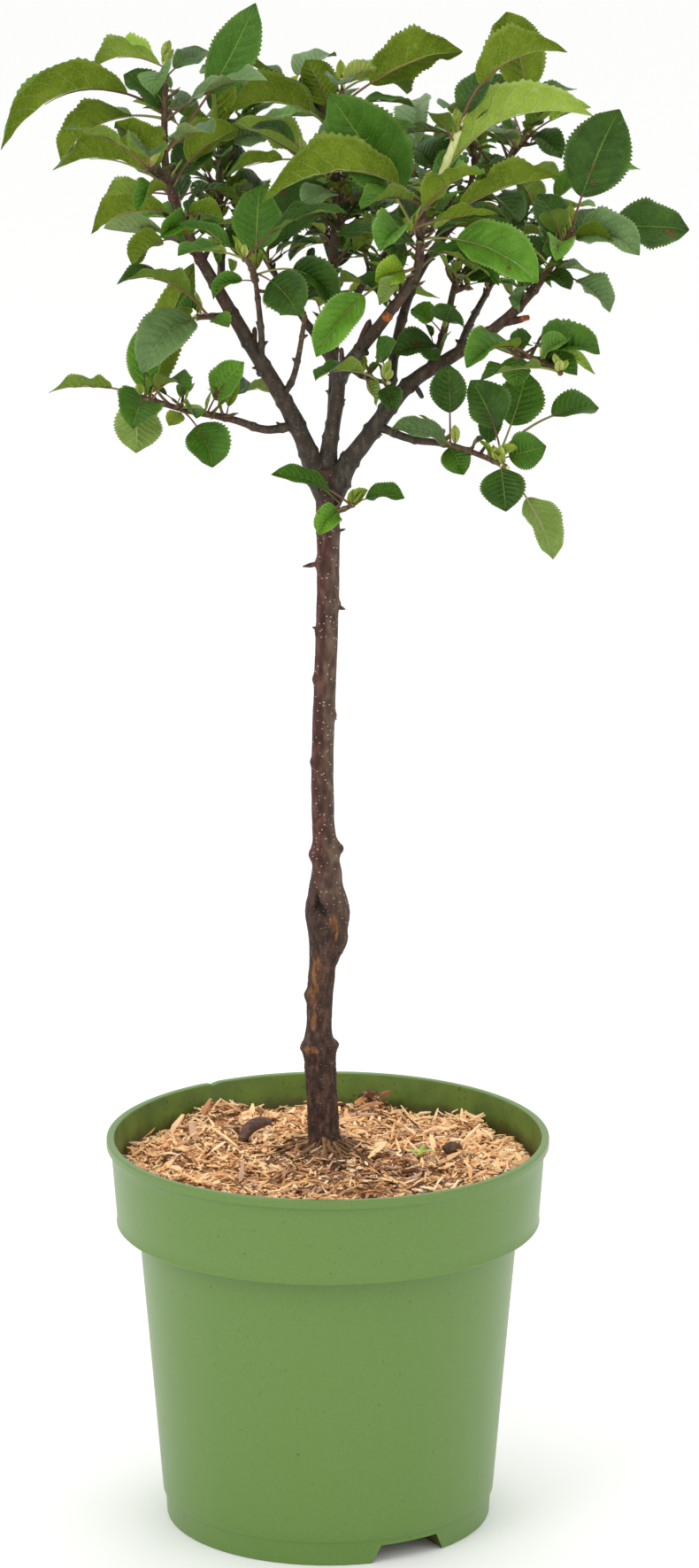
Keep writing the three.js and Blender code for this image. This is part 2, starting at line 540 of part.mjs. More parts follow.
function bladeRings(leaf) {
  if (leaf.reach > LARGE_REACH) return BLADE_RINGS.large;
  return leaf.reach > SMALL_REACH ? BLADE_RINGS.middling : BLADE_RINGS.small;
}

function leafSolid(leaf) {
  const frame = leafFrame(leaf);
  const blade = bladeRings(leaf);
  const fold = foldOf(leaf);
  return ringed(3, blade.length, true, (ring, x, z) => {
    const v = ring === 0 ? 0 : blade[ring - 1];
    const { centre, across, face } = frame(ring === 0 ? 0 : leaf.petiole + (1 - leaf.petiole) * v);
    const half = Math.max(LEAF.petioleRadius, bladeHalf(leaf, v));
    const rise = z > 0 ? -LEAF.thickness : half * Math.sin(fold);
    const out = z > 0 ? 0 : -Math.sign(x) * half * Math.cos(fold);
    return ring === blade.length ? centre
      : centre.addScaledVector(across, out).addScaledVector(face, rise);
  });
}

function trunkRadius(height) {
  const lower = TRUNK.lowerExtra / (1 + Math.exp((height - TRUNK.changeHeight) / TRUNK.changeSpread));
  const swollen = SWELLINGS.reduce(
    (sum, [centre, extra, spread]) => sum + extra * Math.exp(-0.5 * ((height - centre) / spread) ** 2), 0);
  return TRUNK.upperRadius + lower + swollen;
}

// A pointed stub or ridge from a root point out along a direction.
function spike(root, tip, radius) {
  const line = smoothLine([root.toArray(), tip.toArray()], 2);
  const across = new THREE.Vector3(0, 0, 1).cross(directionAt(line, 0.5)).normalize();
  return ringed(5, 2, true, (ring, x, z) => pointAt(line, ring / 2)
    .addScaledVector(across, x * radius).addScaledVector(across.clone().cross(directionAt(line, 0.5)), z * radius));
}

function trunkSolid(grow) {
  const height = TRUNK.top - TRUNK.foot;
  let whole = ringed(TRUNK.sides, TRUNK.rings, false, (ring, x, z) => {
    const centre = pointAt(trunkLine, ring / TRUNK.rings).setZ(TRUNK.foot + height * ring / TRUNK.rings);
    const radius = trunkRadius(centre.z) + grow;
    return centre.add(new THREE.Vector3(-x * radius, z * radius, 0));
  });
  if (grow > 0) return whole;
  for (const [height, heading, length] of STUBS) {
    const share = (height - TRUNK.foot) / (TRUNK.top - TRUNK.foot);
    const root = pointAt(trunkLine, share);
    const reach = trunkRadius(height) + length;
    const tip = root.clone().add(new THREE.Vector3(
      Math.cos(heading * degrees) * reach, Math.sin(heading * degrees) * reach, length));
    whole = whole.add(spike(root, tip, 2.6));
  }
  return whole;
}

function latheSolid(profile, sides) {
  const geometry = new THREE.LatheGeometry(profile.map(([r, z]) => new THREE.Vector2(r, z)), sides);
  return toSolid(geometry.rotateX(Math.PI / 2));
}

function innerRadius(outer) {
  return outer - POT.wall;
}

function potSolid() {
  const lipFoot = POT.rimTop - POT.lipHeight;
  let pot = latheSolid([
    [0, 0], [POT.footRadius, 0], [POT.footTopRadius, POT.footHeight], [POT.bodyFootRadius, POT.footHeight + 1],
    [POT.bodyTopRadius, POT.bandFoot - 1], [POT.bandFootRadius - 1.5, POT.bandFoot],
    [POT.bandFootRadius, POT.bandFoot + 1.5], [POT.bandTopRadius, lipFoot], [POT.rimRadius, lipFoot + 0.5],
    [POT.rimRadius, POT.rimTop - 0.8], [POT.rimRadius - 0.9, POT.rimTop],
    [innerRadius(POT.bandTopRadius) + 0.8, POT.rimTop], [innerRadius(POT.bandTopRadius), POT.rimTop - 0.8],
    [innerRadius(POT.bandFootRadius), POT.bandFoot + POT.wall], [innerRadius(POT.bodyTopRadius), POT.bandFoot - 2],
    [innerRadius(POT.footRadius), POT.floor], [0, POT.floor],
  ], POT.sides);
  const outline = new THREE.Shape([
    [-NOTCH.wide / 2, -OVERLAP], [NOTCH.wide / 2, -OVERLAP], [NOTCH.wide / 2, 0],
    [NOTCH.narrow / 2, NOTCH.height], [-NOTCH.narrow / 2, NOTCH.height], [-NOTCH.wide / 2, 0],
  ].map(([x, y]) => new THREE.Vector2(x, y)));
  for (const heading of NOTCH.headings) {
    const cutter = new THREE.ExtrudeGeometry(outline, { depth: NOTCH.depth + OVERLAP, bevelEnabled: false });
    cutter.translate(0, 0, POT.footRadius - NOTCH.depth).rotateX(Math.PI / 2).rotateZ((heading + 90) * degrees);
    pot = pot.subtract(toSolid(cutter));
  }
  return pot;
}

// The potting mix that fills the pot, with a low mound round the trunk.
function mixSolid() {
  const profile = [[0, POT.floor + GAP], [innerRadius(POT.footRadius) - GAP, POT.floor + GAP],
    [innerRadius(POT.bodyTopRadius) - GAP - 0.1, POT.bandFoot - 2],
    [innerRadius(POT.bandFootRadius) - GAP - 0.1, POT.bandFoot + POT.wall]];
  const wallShare = (MIX.edge - POT.bandFoot) / (POT.rimTop - POT.lipHeight - POT.bandFoot);
  const edgeRadius = innerRadius(THREE.MathUtils.lerp(POT.bandFootRadius, POT.bandTopRadius, wallShare)) - 2 * GAP;
  for (let i = 0; i <= MIX.rings; i += 1) {
    const share = i / MIX.rings;
    const radius = THREE.MathUtils.lerp(edgeRadius, MIX.crownRadius, share);
    profile.push([radius, THREE.MathUtils.lerp(MIX.edge, MIX.crown, Math.sin(share * Math.PI / 2))]);
  }
  profile.push([0, MIX.crown]);
  return latheSolid(profile, POT.sides);
}

// ---- Assembly ----

const tree = new THREE.Group();
const BARK = '#5b4a40';
const LEAF_GREENS = ['#3d6b22', '#4d7d2a', '#5f8f33', '#47742a'];

tree.add(toMesh('pot', potSolid(), '#6e984b', 0.55));
tree.add(toMesh('potting_mix', mixSolid(), '#b07f50', 0.95));
const trunk = trunkSolid(0);
tree.add(toMesh('trunk', trunk, BARK, 0.85));

// The whole of a bough and its own foliage stem, grown outward by a margin.
function wholeBough(bough, margin) {
  const sides = bough.radius[0] > THICK ? 8 : 6;
  return limb(bough.line, (share) => radiusAt(bough, share) + margin, 0, 1, sides, BOUGH_STEP, false);
}

const cutters = new Map([['trunk', trunkSolid(GAP + 0.15)]]);
const forkOrder = [];
let number = 0;
for (const bough of boughs.values()) {
  const sides = bough.radius[0] > THICK ? 8 : 6;
  const radiusOf = (share) => radiusAt(bough, share);
  const joint = bough.bare + GAP / bough.line.length;
  let mass = limb(bough.line, radiusOf, bough.bare > 0 ? joint : 0, 1, sides, BOUGH_STEP, true);
  for (const twig of bough.twigs) {
    const twigRadius = (share) => THREE.MathUtils.lerp(twig.radius[0], twig.radius[1], share);
    mass = mass.add(limb(twig.line, twigRadius, 0, 1, TWIG.sides, BOUGH_STEP, true));
  }
  for (const leaf of bough.leaves) mass = mass.add(leafSolid(leaf));
  const blockers = [cutters.get(bough.from)];
  if (bough.from === 'trunk') blockers.push(...forkOrder);
  if (bough.bare > 0) {
    let bare = limb(bough.line, radiusOf, 0, bough.bare, sides, BOUGH_STEP, false);
    for (const blocker of blockers) bare = bare.subtract(blocker);
    tree.add(toMesh(`bough_${bough.name}`, bare, BARK, 0.85));
  } else {
    for (const blocker of blockers) mass = mass.subtract(blocker);
  }
  tree.add(toMesh(`foliage_${bough.name}`, mass, LEAF_GREENS[number % LEAF_GREENS.length], 0.6));
  cutters.set(bough.name, wholeBough(bough, GAP + 0.15));
  if (bough.from === 'trunk') forkOrder.push(cutters.get(bough.name));
  number += 1;
}

export default tree;
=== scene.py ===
# A dwarf apple tree in a nursery pot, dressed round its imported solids: the studio, the pot, the
# potting mix, the trunk and boughs, and the leaves, in the order in which the plant is put together.
# Sizes are in millimetres, and mesh_object turns them into metres.
import math

import bpy
import numpy as np
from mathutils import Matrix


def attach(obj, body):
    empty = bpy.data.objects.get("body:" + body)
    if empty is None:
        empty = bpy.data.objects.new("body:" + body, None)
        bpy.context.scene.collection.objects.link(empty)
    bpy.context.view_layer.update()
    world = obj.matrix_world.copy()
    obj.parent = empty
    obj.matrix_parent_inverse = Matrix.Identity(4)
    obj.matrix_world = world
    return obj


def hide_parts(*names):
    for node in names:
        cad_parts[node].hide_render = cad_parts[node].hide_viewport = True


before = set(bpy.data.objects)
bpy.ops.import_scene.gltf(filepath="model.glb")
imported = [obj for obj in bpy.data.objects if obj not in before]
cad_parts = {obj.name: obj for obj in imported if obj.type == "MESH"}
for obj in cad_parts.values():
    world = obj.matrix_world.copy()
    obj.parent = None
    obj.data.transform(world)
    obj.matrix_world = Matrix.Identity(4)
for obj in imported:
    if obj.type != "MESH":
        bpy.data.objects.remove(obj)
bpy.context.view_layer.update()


# ---- Studio ----
# A pale floor under soft light from wide lamps and a white sky, as for a plant catalogue.
# The camera stands well back, a little above the crown, and looks down at the middle of the plant.
IMAGE_HEIGHT = 1771              # pixels of the frame's longer side
FOCAL_PIXELS = 6250
SENSOR = 36.0
CAMERA_PLACE = (0.0117, -2.862, 1.093)
CAMERA_TILT = 0.235              # radians below the horizon
FLOOR_HALF = 30000.0
# Lamps as name, place, the height that each faces on the plant's axis, width and power.
LAMPS = [
    ("lamp_left", (-1.9, -1.9, 2.2), 0.5, 1.6, 24),
    ("lamp_right", (2.2, -1.5, 1.4), 0.4, 1.4, 7),
    ("lamp_top", (0.1, 0.6, 2.6), 0.6, 1.2, 12),
]


def linear(colour):
    """Linear RGBA of an sRGB hex colour: c/12.92 below 0.04045, otherwise ((c + 0.055)/1.055)^2.4."""
    steps = np.array([int(colour[i:i + 2], 16) for i in (1, 3, 5)]) / 255
    values = np.where(steps <= 0.04045, steps / 12.92, ((steps + 0.055) / 1.055) ** 2.4)
    return (*values.tolist(), 1.0)


def feed(tree, socket, value):
    """Links a node's output to a socket, or sets a hex colour, a number or several numbers on it."""
    if isinstance(value, bpy.types.NodeSocket):
        tree.links.new(value, socket)
    else:
        socket.default_value = linear(value) if isinstance(value, str) else value


def plain(name, colour, roughness, **sockets):
    """A material of one plain colour. Further sockets are given by name, with _ for a blank."""
    material = bpy.data.materials.new(name)
    material.use_nodes = True
    shader = material.node_tree.nodes["Principled BSDF"]
    for socket, value in {"Base_Color": colour, "Roughness": roughness, **sockets}.items():
        feed(material.node_tree, shader.inputs[socket.replace("_", " ")], value)
    return material


def put_in_scene(name, data):
    """A new object that shows the data, in the scene."""
    made = bpy.data.objects.new(name, data)
    bpy.context.scene.collection.objects.link(made)
    return made


def mesh_object(name, points, face_sets, materials, picks=None, smooth=True):
    """A mesh of points in millimetres and several arrays of faces, each with its own corner count.
    picks is the number of each face's material."""
    mesh = bpy.data.meshes.new(name)
    sizes = np.concatenate([np.full(len(faces), faces.shape[1]) for faces in face_sets])
    corners = np.concatenate([faces.ravel() for faces in face_sets])
    mesh.vertices.add(len(points))
    mesh.vertices.foreach_set("co", (np.asarray(points) * 0.001).astype(np.float32).ravel())
    mesh.loops.add(len(corners))
    mesh.loops.foreach_set("vertex_index", corners.astype(np.int32))
    mesh.polygons.add(len(sizes))
    mesh.polygons.foreach_set("loop_start", (np.cumsum(sizes) - sizes).astype(np.int32))
    mesh.polygons.foreach_set("use_smooth", np.full(len(sizes), smooth))
    if picks is not None:
        mesh.polygons.foreach_set("material_index", np.asarray(picks, np.int32))
    mesh.update(calc_edges=True)
    for material in materials:
        mesh.materials.append(material)
    return put_in_scene(name, mesh)


camera_data = bpy.data.cameras.new("studio_camera")
camera_data.sensor_width = SENSOR
camera_data.lens = FOCAL_PIXELS * SENSOR / IMAGE_HEIGHT
camera_data.clip_end = 200
camera = put_in_scene("studio_camera", camera_data)
camera.location = CAMERA_PLACE
camera.rotation_euler = (math.pi / 2 - CAMERA_TILT, 0, 0)
bpy.context.scene.camera = camera
bpy.context.scene.view_settings.view_transform = "Standard"

floor_corners = np.array([[-1, -1, 0], [1, -1, 0], [1, 1, 0], [-1, 1, 0]]) * FLOOR_HALF
floor_paint = plain("studio_floor", "#fdfdfc", 0.9, Specular_IOR_Level=0.1)
floor = mesh_object("studio_floor", floor_corners, [np.array([[0, 1, 2, 3]])], [floor_paint])

sky = bpy.data.worlds.new("studio_sky")
sky.use_nodes = True
sky.node_tree.nodes["Background"].inputs["Color"].default_value = (1, 1, 1, 1)
sky.node_tree.nodes["Background"].inputs["Strength"].default_value = 1.0
bpy.context.scene.world = sky

for name, place, faced, width, power in LAMPS:
    lamp_data = bpy.data.lights.new(name, "AREA")
    lamp_data.energy = power
    lamp_data.size = width
    lamp = put_in_scene(name, lamp_data)
    lamp.location = place
    x, y, rise = place[0], place[1], place[2] - faced
    lamp.rotation_euler = (math.atan2(math.hypot(x, y), rise), 0, math.atan2(x, -y))


# ---- Nursery pot ----
# One thin moulding of green polypropylene with a rolled lip, a deep band under it, a tapered body,
# a set-in foot and two drainage notches cut through the foot's edge.
POT = {
    "rim": 120.0, "top": 213.7, "lip": 5.0, "band_top": 117.6, "band_foot": 114.5, "step": 165.5,
    "body_top": 103.0, "body_foot": 90.3, "foot_top": 89.0, "foot": 88.3, "foot_height": 13.0,
    "wall": 1.9, "floor": 12.6, "hollow": 10.4, "ring": 20.0, "bead": 0.35, "sides": 288,
}
# The thin wall is a little out of true, the more so further up from the stiff foot, and its lip sags
# a little and has a small tear at the back.
FLAWS = {"bow": 0.35, "wave": 150, "seed": 3, "stiff": 20, "limp_over": 150,
         "sag": 0.25, "sag_above": 205, "sag_turn": 0.6,
         "tear": 123.5, "tear_width": 0.018, "tear_above": 210, "tear_deep": 0.9, "tear_in": 0.4}
NOTCH = {"wide": 44.0, "narrow": 34.0, "height": 10.0, "depth": 21.0, "past": 6,
         "headings": (-60, 120)}
POT_GREENS = ("#58792a", "#5e8033")
# The inside wall is the same plastic, painted darker and yellower than the outside as shade inside the
# pot.
POT_INSIDE_SHADED = ("#4d6418", "#5f7622")
SOIL_STAIN = "#43351b"
WAVES = 14                       # cosine waves that make one ripple


def ripple(points, size, seed):
    """A smooth random height from -1 to 1: the mean of cosine waves of about one wavelength, size,
    in random directions and with random phases, times the square root of their number over 1.6."""
    draw = np.random.default_rng(seed)
    directions = draw.normal(size=(WAVES, 3))
    directions /= np.linalg.norm(directions, axis=1)[:, None]
    lengths = size * draw.uniform(0.7, 1.4, WAVES)
    phases = draw.uniform(0, 2 * np.pi, WAVES)
    turns = points @ (directions / lengths[:, None]).T * 2 * np.pi + phases
    return np.cos(turns).mean(axis=-1) * math.sqrt(WAVES) / 1.6


def wrapped_faces(rings, sides):
    """Quads between neighbouring rings of a closed tube, facing out where rings run upwards."""
    ring, side = np.meshgrid(np.arange(rings - 1), np.arange(sides), indexing="ij")
    low, after = ring * sides, (side + 1) % sides
    quads = np.stack([low + side, low + after, low + sides + after, low + sides + side], axis=-1)
    return quads.reshape(-1, 4)


def capped(rings, low_point, high_point):
    """The points of rings, (rings, sides, 3), with one more at each end, and the faces between them,
    closed by a fan at both ends and facing out where rings run upwards."""
    count, sides = rings.shape[:2]
    side = np.arange(sides)
    after = (side + 1) % sides
    top = (count - 1) * sides
    low = np.stack([np.full_like(side, count * sides), after, side], axis=-1)
    high = np.stack([np.full_like(side, count * sides + 1), top + side, top + after], axis=-1)
    points = np.concatenate([rings.reshape(-1, 3), [low_point, high_point]])
    return points, [wrapped_faces(count, sides), low, high]


def add_node(tree, kind, settings=None, **sockets):
    """A new node with its settings made and its sockets fed, each by name with _ for a blank."""
    made = tree.nodes.new("ShaderNode" + kind)
    for setting, value in (settings or {}).items():
        setattr(made, setting, value)
    for socket, value in sockets.items():
        feed(tree, made.inputs[socket.replace("_", " ")], value)
    return made


def coordinates(tree, stretch=(1, 1, 1)):
    """The object's own coordinates, times stretch."""
    place = add_node(tree, "TexCoord")
    return add_node(tree, "Mapping", Vector=place.outputs["Object"], Scale=stretch).outputs["Vector"]


def noise(tree, scale, detail, stretch=(1, 1, 1)):
    """The value of a noise of the object's own coordinates."""
    place = coordinates(tree, stretch)
    return add_node(tree, "TexNoise", Vector=place, Scale=scale, Detail=detail).outputs["Fac"]


def ramp(tree, value, colours):
    """The colour that a value picks from several, each at its own place."""
    made = add_node(tree, "ValToRGB", Fac=value)
    elements = made.color_ramp.elements
    while len(elements) < len(colours):
        elements.new(0.5)
    for element, (where, colour) in zip(elements, colours):
        element.position = where
        element.color = linear(colour)
    return made.outputs["Color"]


def maths(tree, operation, *values):
    """One step of arithmetic in a material: the operation on numbers or node outputs."""
    step = add_node(tree, "Math", {"operation": operation})
    for socket, value in zip(step.inputs, values):
        feed(tree, socket, value)
    return step.outputs[0]


def times(tree, *values):
    """The product of two numbers or node outputs."""
    return maths(tree, "MULTIPLY", *values)


def rest(tree, share):
    """What a share leaves of 1."""
    return maths(tree, "SUBTRACT", 1.0, share)


def ease(tree, value, low, high):
    """0 below low and 1 above high, with a smooth step between them."""
    smooth = {"interpolation_type": "SMOOTHSTEP"}
    return add_node(tree, "MapRange", smooth, Value=value, From_Min=low, From_Max=high).outputs[0]


def blend(tree, share, first, second):
    """A mix of two colours, each a hex colour or a node output, by a share."""
    mixed = add_node(tree, "Mix", {"data_type": "RGBA"}, Factor=share, A=first, B=second)
    return mixed.outputs["Result"]


def lay_over(material, share, colour):
    """Lays one more colour over a material's base colour by a share."""
    tree = material.node_tree
    base = tree.nodes["Principled BSDF"].inputs["Base Color"]
    feed(tree, base, blend(tree, share, base.links[0].from_socket, colour))


def specks(tree, scale, detail, low, high, share):
    """Small specks where a noise passes from low to high, times a share."""
    return times(tree, ease(tree, noise(tree, scale, detail), low, high), share)


def patterned(name, scale, detail, colours, roughness, bumps, stretch=(1, 1, 1), **sockets):
    """A material of noise colours, a roughness that varies with the noise between two values, and
    bumps given as (noise scale, height in metres), the finer laid over the coarser."""
    material = plain(name, "#808080", 0.5, **sockets)
    tree = material.node_tree
    shader = tree.nodes["Principled BSDF"]
    value = noise(tree, scale, detail, stretch)
    feed(tree, shader.inputs["Base Color"], ramp(tree, value, colours))
    spread = add_node(tree, "MapRange", Value=value, From_Min=0.3, From_Max=0.7,
                      To_Min=roughness[0], To_Max=roughness[1])
    feed(tree, shader.inputs["Roughness"], spread.outputs["Result"])
    for bump_scale, height in bumps:
        under = {"Normal": link.from_socket for link in shader.inputs["Normal"].links}
        relief = noise(tree, bump_scale, 3, stretch)
        bump = add_node(tree, "Bump", Height=relief, Distance=height, **under)
        feed(tree, shader.inputs["Normal"], bump.outputs["Normal"])
    return material


def pot_profile():
    """The wall's outline as radius and height: from the hollow under the floor, over the foot ring, up
    the outside, over the lip, and down the inside to the middle of the floor. Also the number of
    points up to the lip's end."""
    rim, top, step, wall = POT["rim"], POT["top"], POT["step"], POT["wall"]
    foot, foot_top, foot_height = POT["foot"], POT["foot_top"], POT["foot_height"]
    body_foot, body_top = POT["body_foot"], POT["body_top"]
    band_foot, band_top = POT["band_foot"], POT["band_top"]
    bead, lip_foot = band_foot + POT["bead"], top - POT["lip"]
    ring, inner_top = foot - POT["ring"], band_top - wall
    foot_ring = [
        (0.0, POT["hollow"]), (ring, POT["hollow"]), (ring, 0.4), (ring + 0.4, 0.0), (foot - 0.9, 0.0),
        (foot - 0.2, 0.3), (foot, 0.9), (foot_top, foot_height - 0.6), (foot_top + 0.3, foot_height),
        (body_foot - 0.4, foot_height + 0.5)]
    body = np.linspace((body_foot, foot_height + 1.3), (body_top, step - 1.4), 26)
    under_band = [(body_top + 0.5, step - 0.5), (band_foot - 1.6, step), (band_foot - 0.3, step + 0.15),
                  (bead, step + 0.8), (bead, step + 1.3)]
    band = np.linspace((band_foot, step + 2.1), (band_top, lip_foot - 0.7), 8)
    under_lip = [(band_top + 0.3, lip_foot - 0.3), (rim - 0.9, lip_foot), (rim - 0.3, lip_foot + 0.25),
                 (rim, lip_foot + 0.9)]
    turn = np.linspace(-0.15, 1, 7) * np.pi / 2
    lip = np.stack([rim - 0.8 + 0.8 * np.cos(turn), top - 0.9 + 0.9 * np.sin(turn)], axis=-1)
    inside = [(inner_top + 1.0, top), (inner_top + 0.3, top - 0.25), (inner_top, top - 0.9),
              (band_foot - wall, step + wall), (body_top - wall, step - 2),
              (foot - wall, POT["floor"]), (0.0, POT["floor"])]
    outside = np.concatenate([foot_ring, body, under_band, band, under_lip, lip])
    return np.concatenate([outside, inside]), len(outside)


def lathe(profile, sides):
    """Rings of a profile about the upright axis: (radius cos a, radius sin a, height)."""
    angles = np.arange(sides) * 2 * np.pi / sides
    radius, height = profile[:, 0][:, None], profile[:, 1][:, None]
    return np.stack([radius * np.cos(angles), radius * np.sin(angles), height + 0 * angles], axis=-1)


profile, outside_count = pot_profile()
rings = lathe(profile[1:-1], POT["sides"])
x, y, height = (rings[..., i].copy() for i in range(3))
angle, radius = np.arctan2(y, x), np.hypot(x, y)
freedom = np.clip((height - FLAWS["stiff"]) / FLAWS["limp_over"], 0, 1)
tear = np.exp(-((angle - math.radians(FLAWS["tear"])) / FLAWS["tear_width"]) ** 2)
tear *= np.clip((height - FLAWS["tear_above"]) / 3, 0, 1)
inward = np.clip(FLAWS["bow"] * freedom * (1 + ripple(rings, FLAWS["wave"], FLAWS["seed"])), 0, 1)
rings[..., :2] *= ((radius - inward - FLAWS["tear_in"] * tear) / radius)[..., None]
sag = FLAWS["sag"] * freedom * (1 + np.cos(2 * angle + FLAWS["sag_turn"]))
rings[..., 2] -= FLAWS["tear_deep"] * tear + sag * (height > FLAWS["sag_above"])
points, faces = capped(rings, (0, 0, POT["hollow"]), (0, 0, POT["floor"]))
inside_faces = np.repeat(np.arange(rings.shape[0] - 1) >= outside_count, POT["sides"])
picks = np.concatenate([inside_faces, np.zeros(POT["sides"]), np.ones(POT["sides"])])
pot_green = patterned(
    "pot_green_plastic", 900, 4, [(0.35, POT_GREENS[0]), (0.65, POT_GREENS[1])], (0.32, 0.42),
    [(45, 0.0002), (1100, 0.00005)], Specular_IOR_Level=0.62)
# The inner wall's darker greens are painted shade.
pot_inside_shaded = patterned(
    "pot_inner_wall", 60, 7, [(0.36, POT_INSIDE_SHADED[0]), (0.64, POT_INSIDE_SHADED[1])], (0.36, 0.6),
    [(90, 0.0003), (1400, 0.00006)], Specular_IOR_Level=0.4)
# Crumbs of soil stick to the wall as specks, thickest in a stained band where the mix has settled.
tree = pot_inside_shaded.node_tree
place = add_node(tree, "SeparateXYZ", Vector=add_node(tree, "TexCoord").outputs["Object"])
ragged = times(tree, noise(tree, 110, 4), -0.012)
above_mix = maths(tree, "ADD", place.outputs["Z"], ragged)
near_mix = rest(tree, ease(tree, above_mix, 0.190, 0.197))
lay_over(pot_inside_shaded, times(tree, near_mix, 0.7), SOIL_STAIN)
lay_over(pot_inside_shaded, specks(tree, 420, 2, 0.66, 0.70, 0.85), SOIL_STAIN)
lay_over(pot_green, specks(pot_green.node_tree, 380, 2, 0.71, 0.74, 0.5), SOIL_STAIN)
pot = mesh_object("nursery_pot", points, faces, [pot_green, pot_inside_shaded], picks)
pot.data.set_sharp_from_angle(angle=math.radians(50))

# The notches' outline, across and up, is carried through the foot's edge and past it, and cut away.
half_wide, half_narrow = NOTCH["wide"] / 2, NOTCH["narrow"] / 2
past, notch_top = NOTCH["past"], NOTCH["height"]
outline = np.array([[-half_wide, -past], [half_wide, -past], [half_wide, 0], [half_narrow, notch_top],
                    [-half_narrow, notch_top], [-half_wide, 0]])
corner = np.arange(6)
after = (corner + 1) % 6
cutter_faces = [np.stack([corner, after, after + 6, corner + 6], axis=-1),
                np.stack([corner[::-1], corner + 6])]
cutters = []
for number, heading in enumerate(np.radians(NOTCH["headings"])):
    out = np.array([math.cos(heading), math.sin(heading), 0])
    across = np.array([-out[1], out[0], 0])
    flat = across * outline[:, :1] + np.array([0, 0, 1]) * outline[:, 1:]
    block = np.concatenate([flat + out * (POT["foot"] + reach) for reach in (-NOTCH["depth"], past)])
    cutter = mesh_object(f"notch_cutter_{number}", block, cutter_faces, [pot_inside_shaded], smooth=False)
    cut = pot.modifiers.new(f"notch_{number}", "BOOLEAN")
    cut.object = cutter
    cut.solver = "EXACT"
    cutters.append(cutter)
notched = bpy.data.meshes.new_from_object(pot.evaluated_get(bpy.context.evaluated_depsgraph_get()))
pot.modifiers.clear()
pot.data = notched
for cutter in cutters:
    bpy.data.objects.remove(cutter)
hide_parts("pot")
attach(pot, "root")


# ---- Potting mix ----
# The pot is filled to a finger's breadth below its rim with dark mix, topped with dry wood shavings, and
# the bed is painted darker still as shade in the gaps between them.
# The top is a low lumpy mound, and the body under it reaches the floor, where the notches show it.
MIX = {"edge": 193.6, "crown": 201.6, "crown_radius": 17.0, "gap": 0.6, "rings": 90, "sides": 300}
MIX_LUMPS = ((34.0, 2.6, 11), (13.0, 1.5, 12), (5.0, 0.8, 13))
# Heaps that rise above the mound, and one dip: x, y, radius and height.
MIX_HEAPS = ((-62, 84, 26, 8.5), (25, 97, 15, 8.0), (74, 64, 22, 3.0), (-1, -2, 20, 4.6),
             (-88, 30, 16, 3.0), (-10, 92, 26, -2.5))


def wall_radius(height):
    """Radius of the band's inner face: it widens evenly from the step to the lip."""
    share = (height - POT["step"]) / (POT["top"] - POT["lip"] - POT["step"])
    return POT["band_foot"] + (POT["band_top"] - POT["band_foot"]) * share - POT["wall"]


MIX_RADIUS = wall_radius(MIX["edge"]) - MIX["gap"]


def mix_height(x, y):
    """Height of the top: from the wall's edge to the crown by the sine of the share of the way in,
    with lumps of several sizes and heaps that fade as a bell curve."""
    out = np.hypot(x, y)
    share = np.clip((MIX_RADIUS - out) / (MIX_RADIUS - MIX["crown_radius"]), 0, 1)
    height = MIX["edge"] + (MIX["crown"] - MIX["edge"]) * np.sin(share * np.pi / 2)
    spots = np.stack([x, y, 0 * x], axis=-1)
    for size, rise, seed in MIX_LUMPS:
        height = height + rise * ripple(spots, size, seed)
    for heap_x, heap_y, spread, rise in MIX_HEAPS:
        height = height + rise * np.exp(-((x - heap_x) ** 2 + (y - heap_y) ** 2) / (0.6 * spread) ** 2)
    return height


share = np.linspace(1, 0, MIX["rings"] + 1)[:-1]
turn = np.arange(MIX["sides"]) * 2 * np.pi / MIX["sides"]
top_x = MIX_RADIUS * share[:, None] * np.cos(turn)
top_y = MIX_RADIUS * share[:, None] * np.sin(turn)
top = np.stack([top_x, top_y, mix_height(top_x, top_y)], axis=-1)
mix_floor = POT["floor"] + 0.3
body = np.array([[POT["foot"] - POT["wall"] - 0.5, mix_floor],
                 [POT["body_top"] - POT["wall"] - 0.6, POT["step"] - 2],
                 [POT["band_foot"] - POT["wall"] - 0.6, POT["step"] + POT["wall"]]])
rings = np.concatenate([lathe(body, MIX["sides"]), top])
points, faces = capped(rings, (0, 0, mix_floor), (0, 0, mix_height(0.0, 0.0)))
# The bed's dark browns are partly the mix's own colour and partly painted shade between the shavings.
mix_brown_and_gap_shade = patterned(
    "shavings_bed", 190, 8, [(0.3, "#33221a"), (0.42, "#6b482f"), (0.54, "#a87848"), (0.7, "#dca974")],
    (0.85, 0.98), [(420, 0.0012), (1500, 0.0004)], Specular_IOR_Level=0.15)
mix = mesh_object("potting_mix_bed", points, faces, [mix_brown_and_gap_shade])
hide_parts("potting_mix")
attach(mix, "root")


# ---- Wood shavings ----
# Loose dry shavings, chips and fibres of pale wood lie criss-cross over the bed, mostly flat.
# Each is a thin sliver, tapered at both ends and a little bent, cut from one of several browns.
SHAVING_KINDS = (
    # name, count, length, width, thickness, greatest pitch, loose height, seed
    ("crumbs", 5600, (1.2, 4.2), (0.6, 1.7), (0.3, 0.8), 40, 1.0, 21),
    ("shavings", 4200, (3.6, 10.5), (0.8, 2.3), (0.2, 0.6), 34, 2.6, 22),
    ("chips", 740, (7.0, 17.0), (1.3, 3.6), (0.4, 1.0), 34, 2.4, 27),
)
SHAVING_BROWNS = ("#fdd7a2", "#f5c68e", "#fde2b8", "#e8b07a", "#bf8b60",
                  "#8a6347", "#fbd2a2", "#64432f", "#f8e8cc", "#cba78c")
SHAVING_SHARES = (0.21, 0.19, 0.13, 0.13, 0.09, 0.06, 0.1, 0.03, 0.02, 0.04)
DARK_BROWNS, PALE_BROWNS = (4, 5, 7, 9), (0, 1, 2, 6)
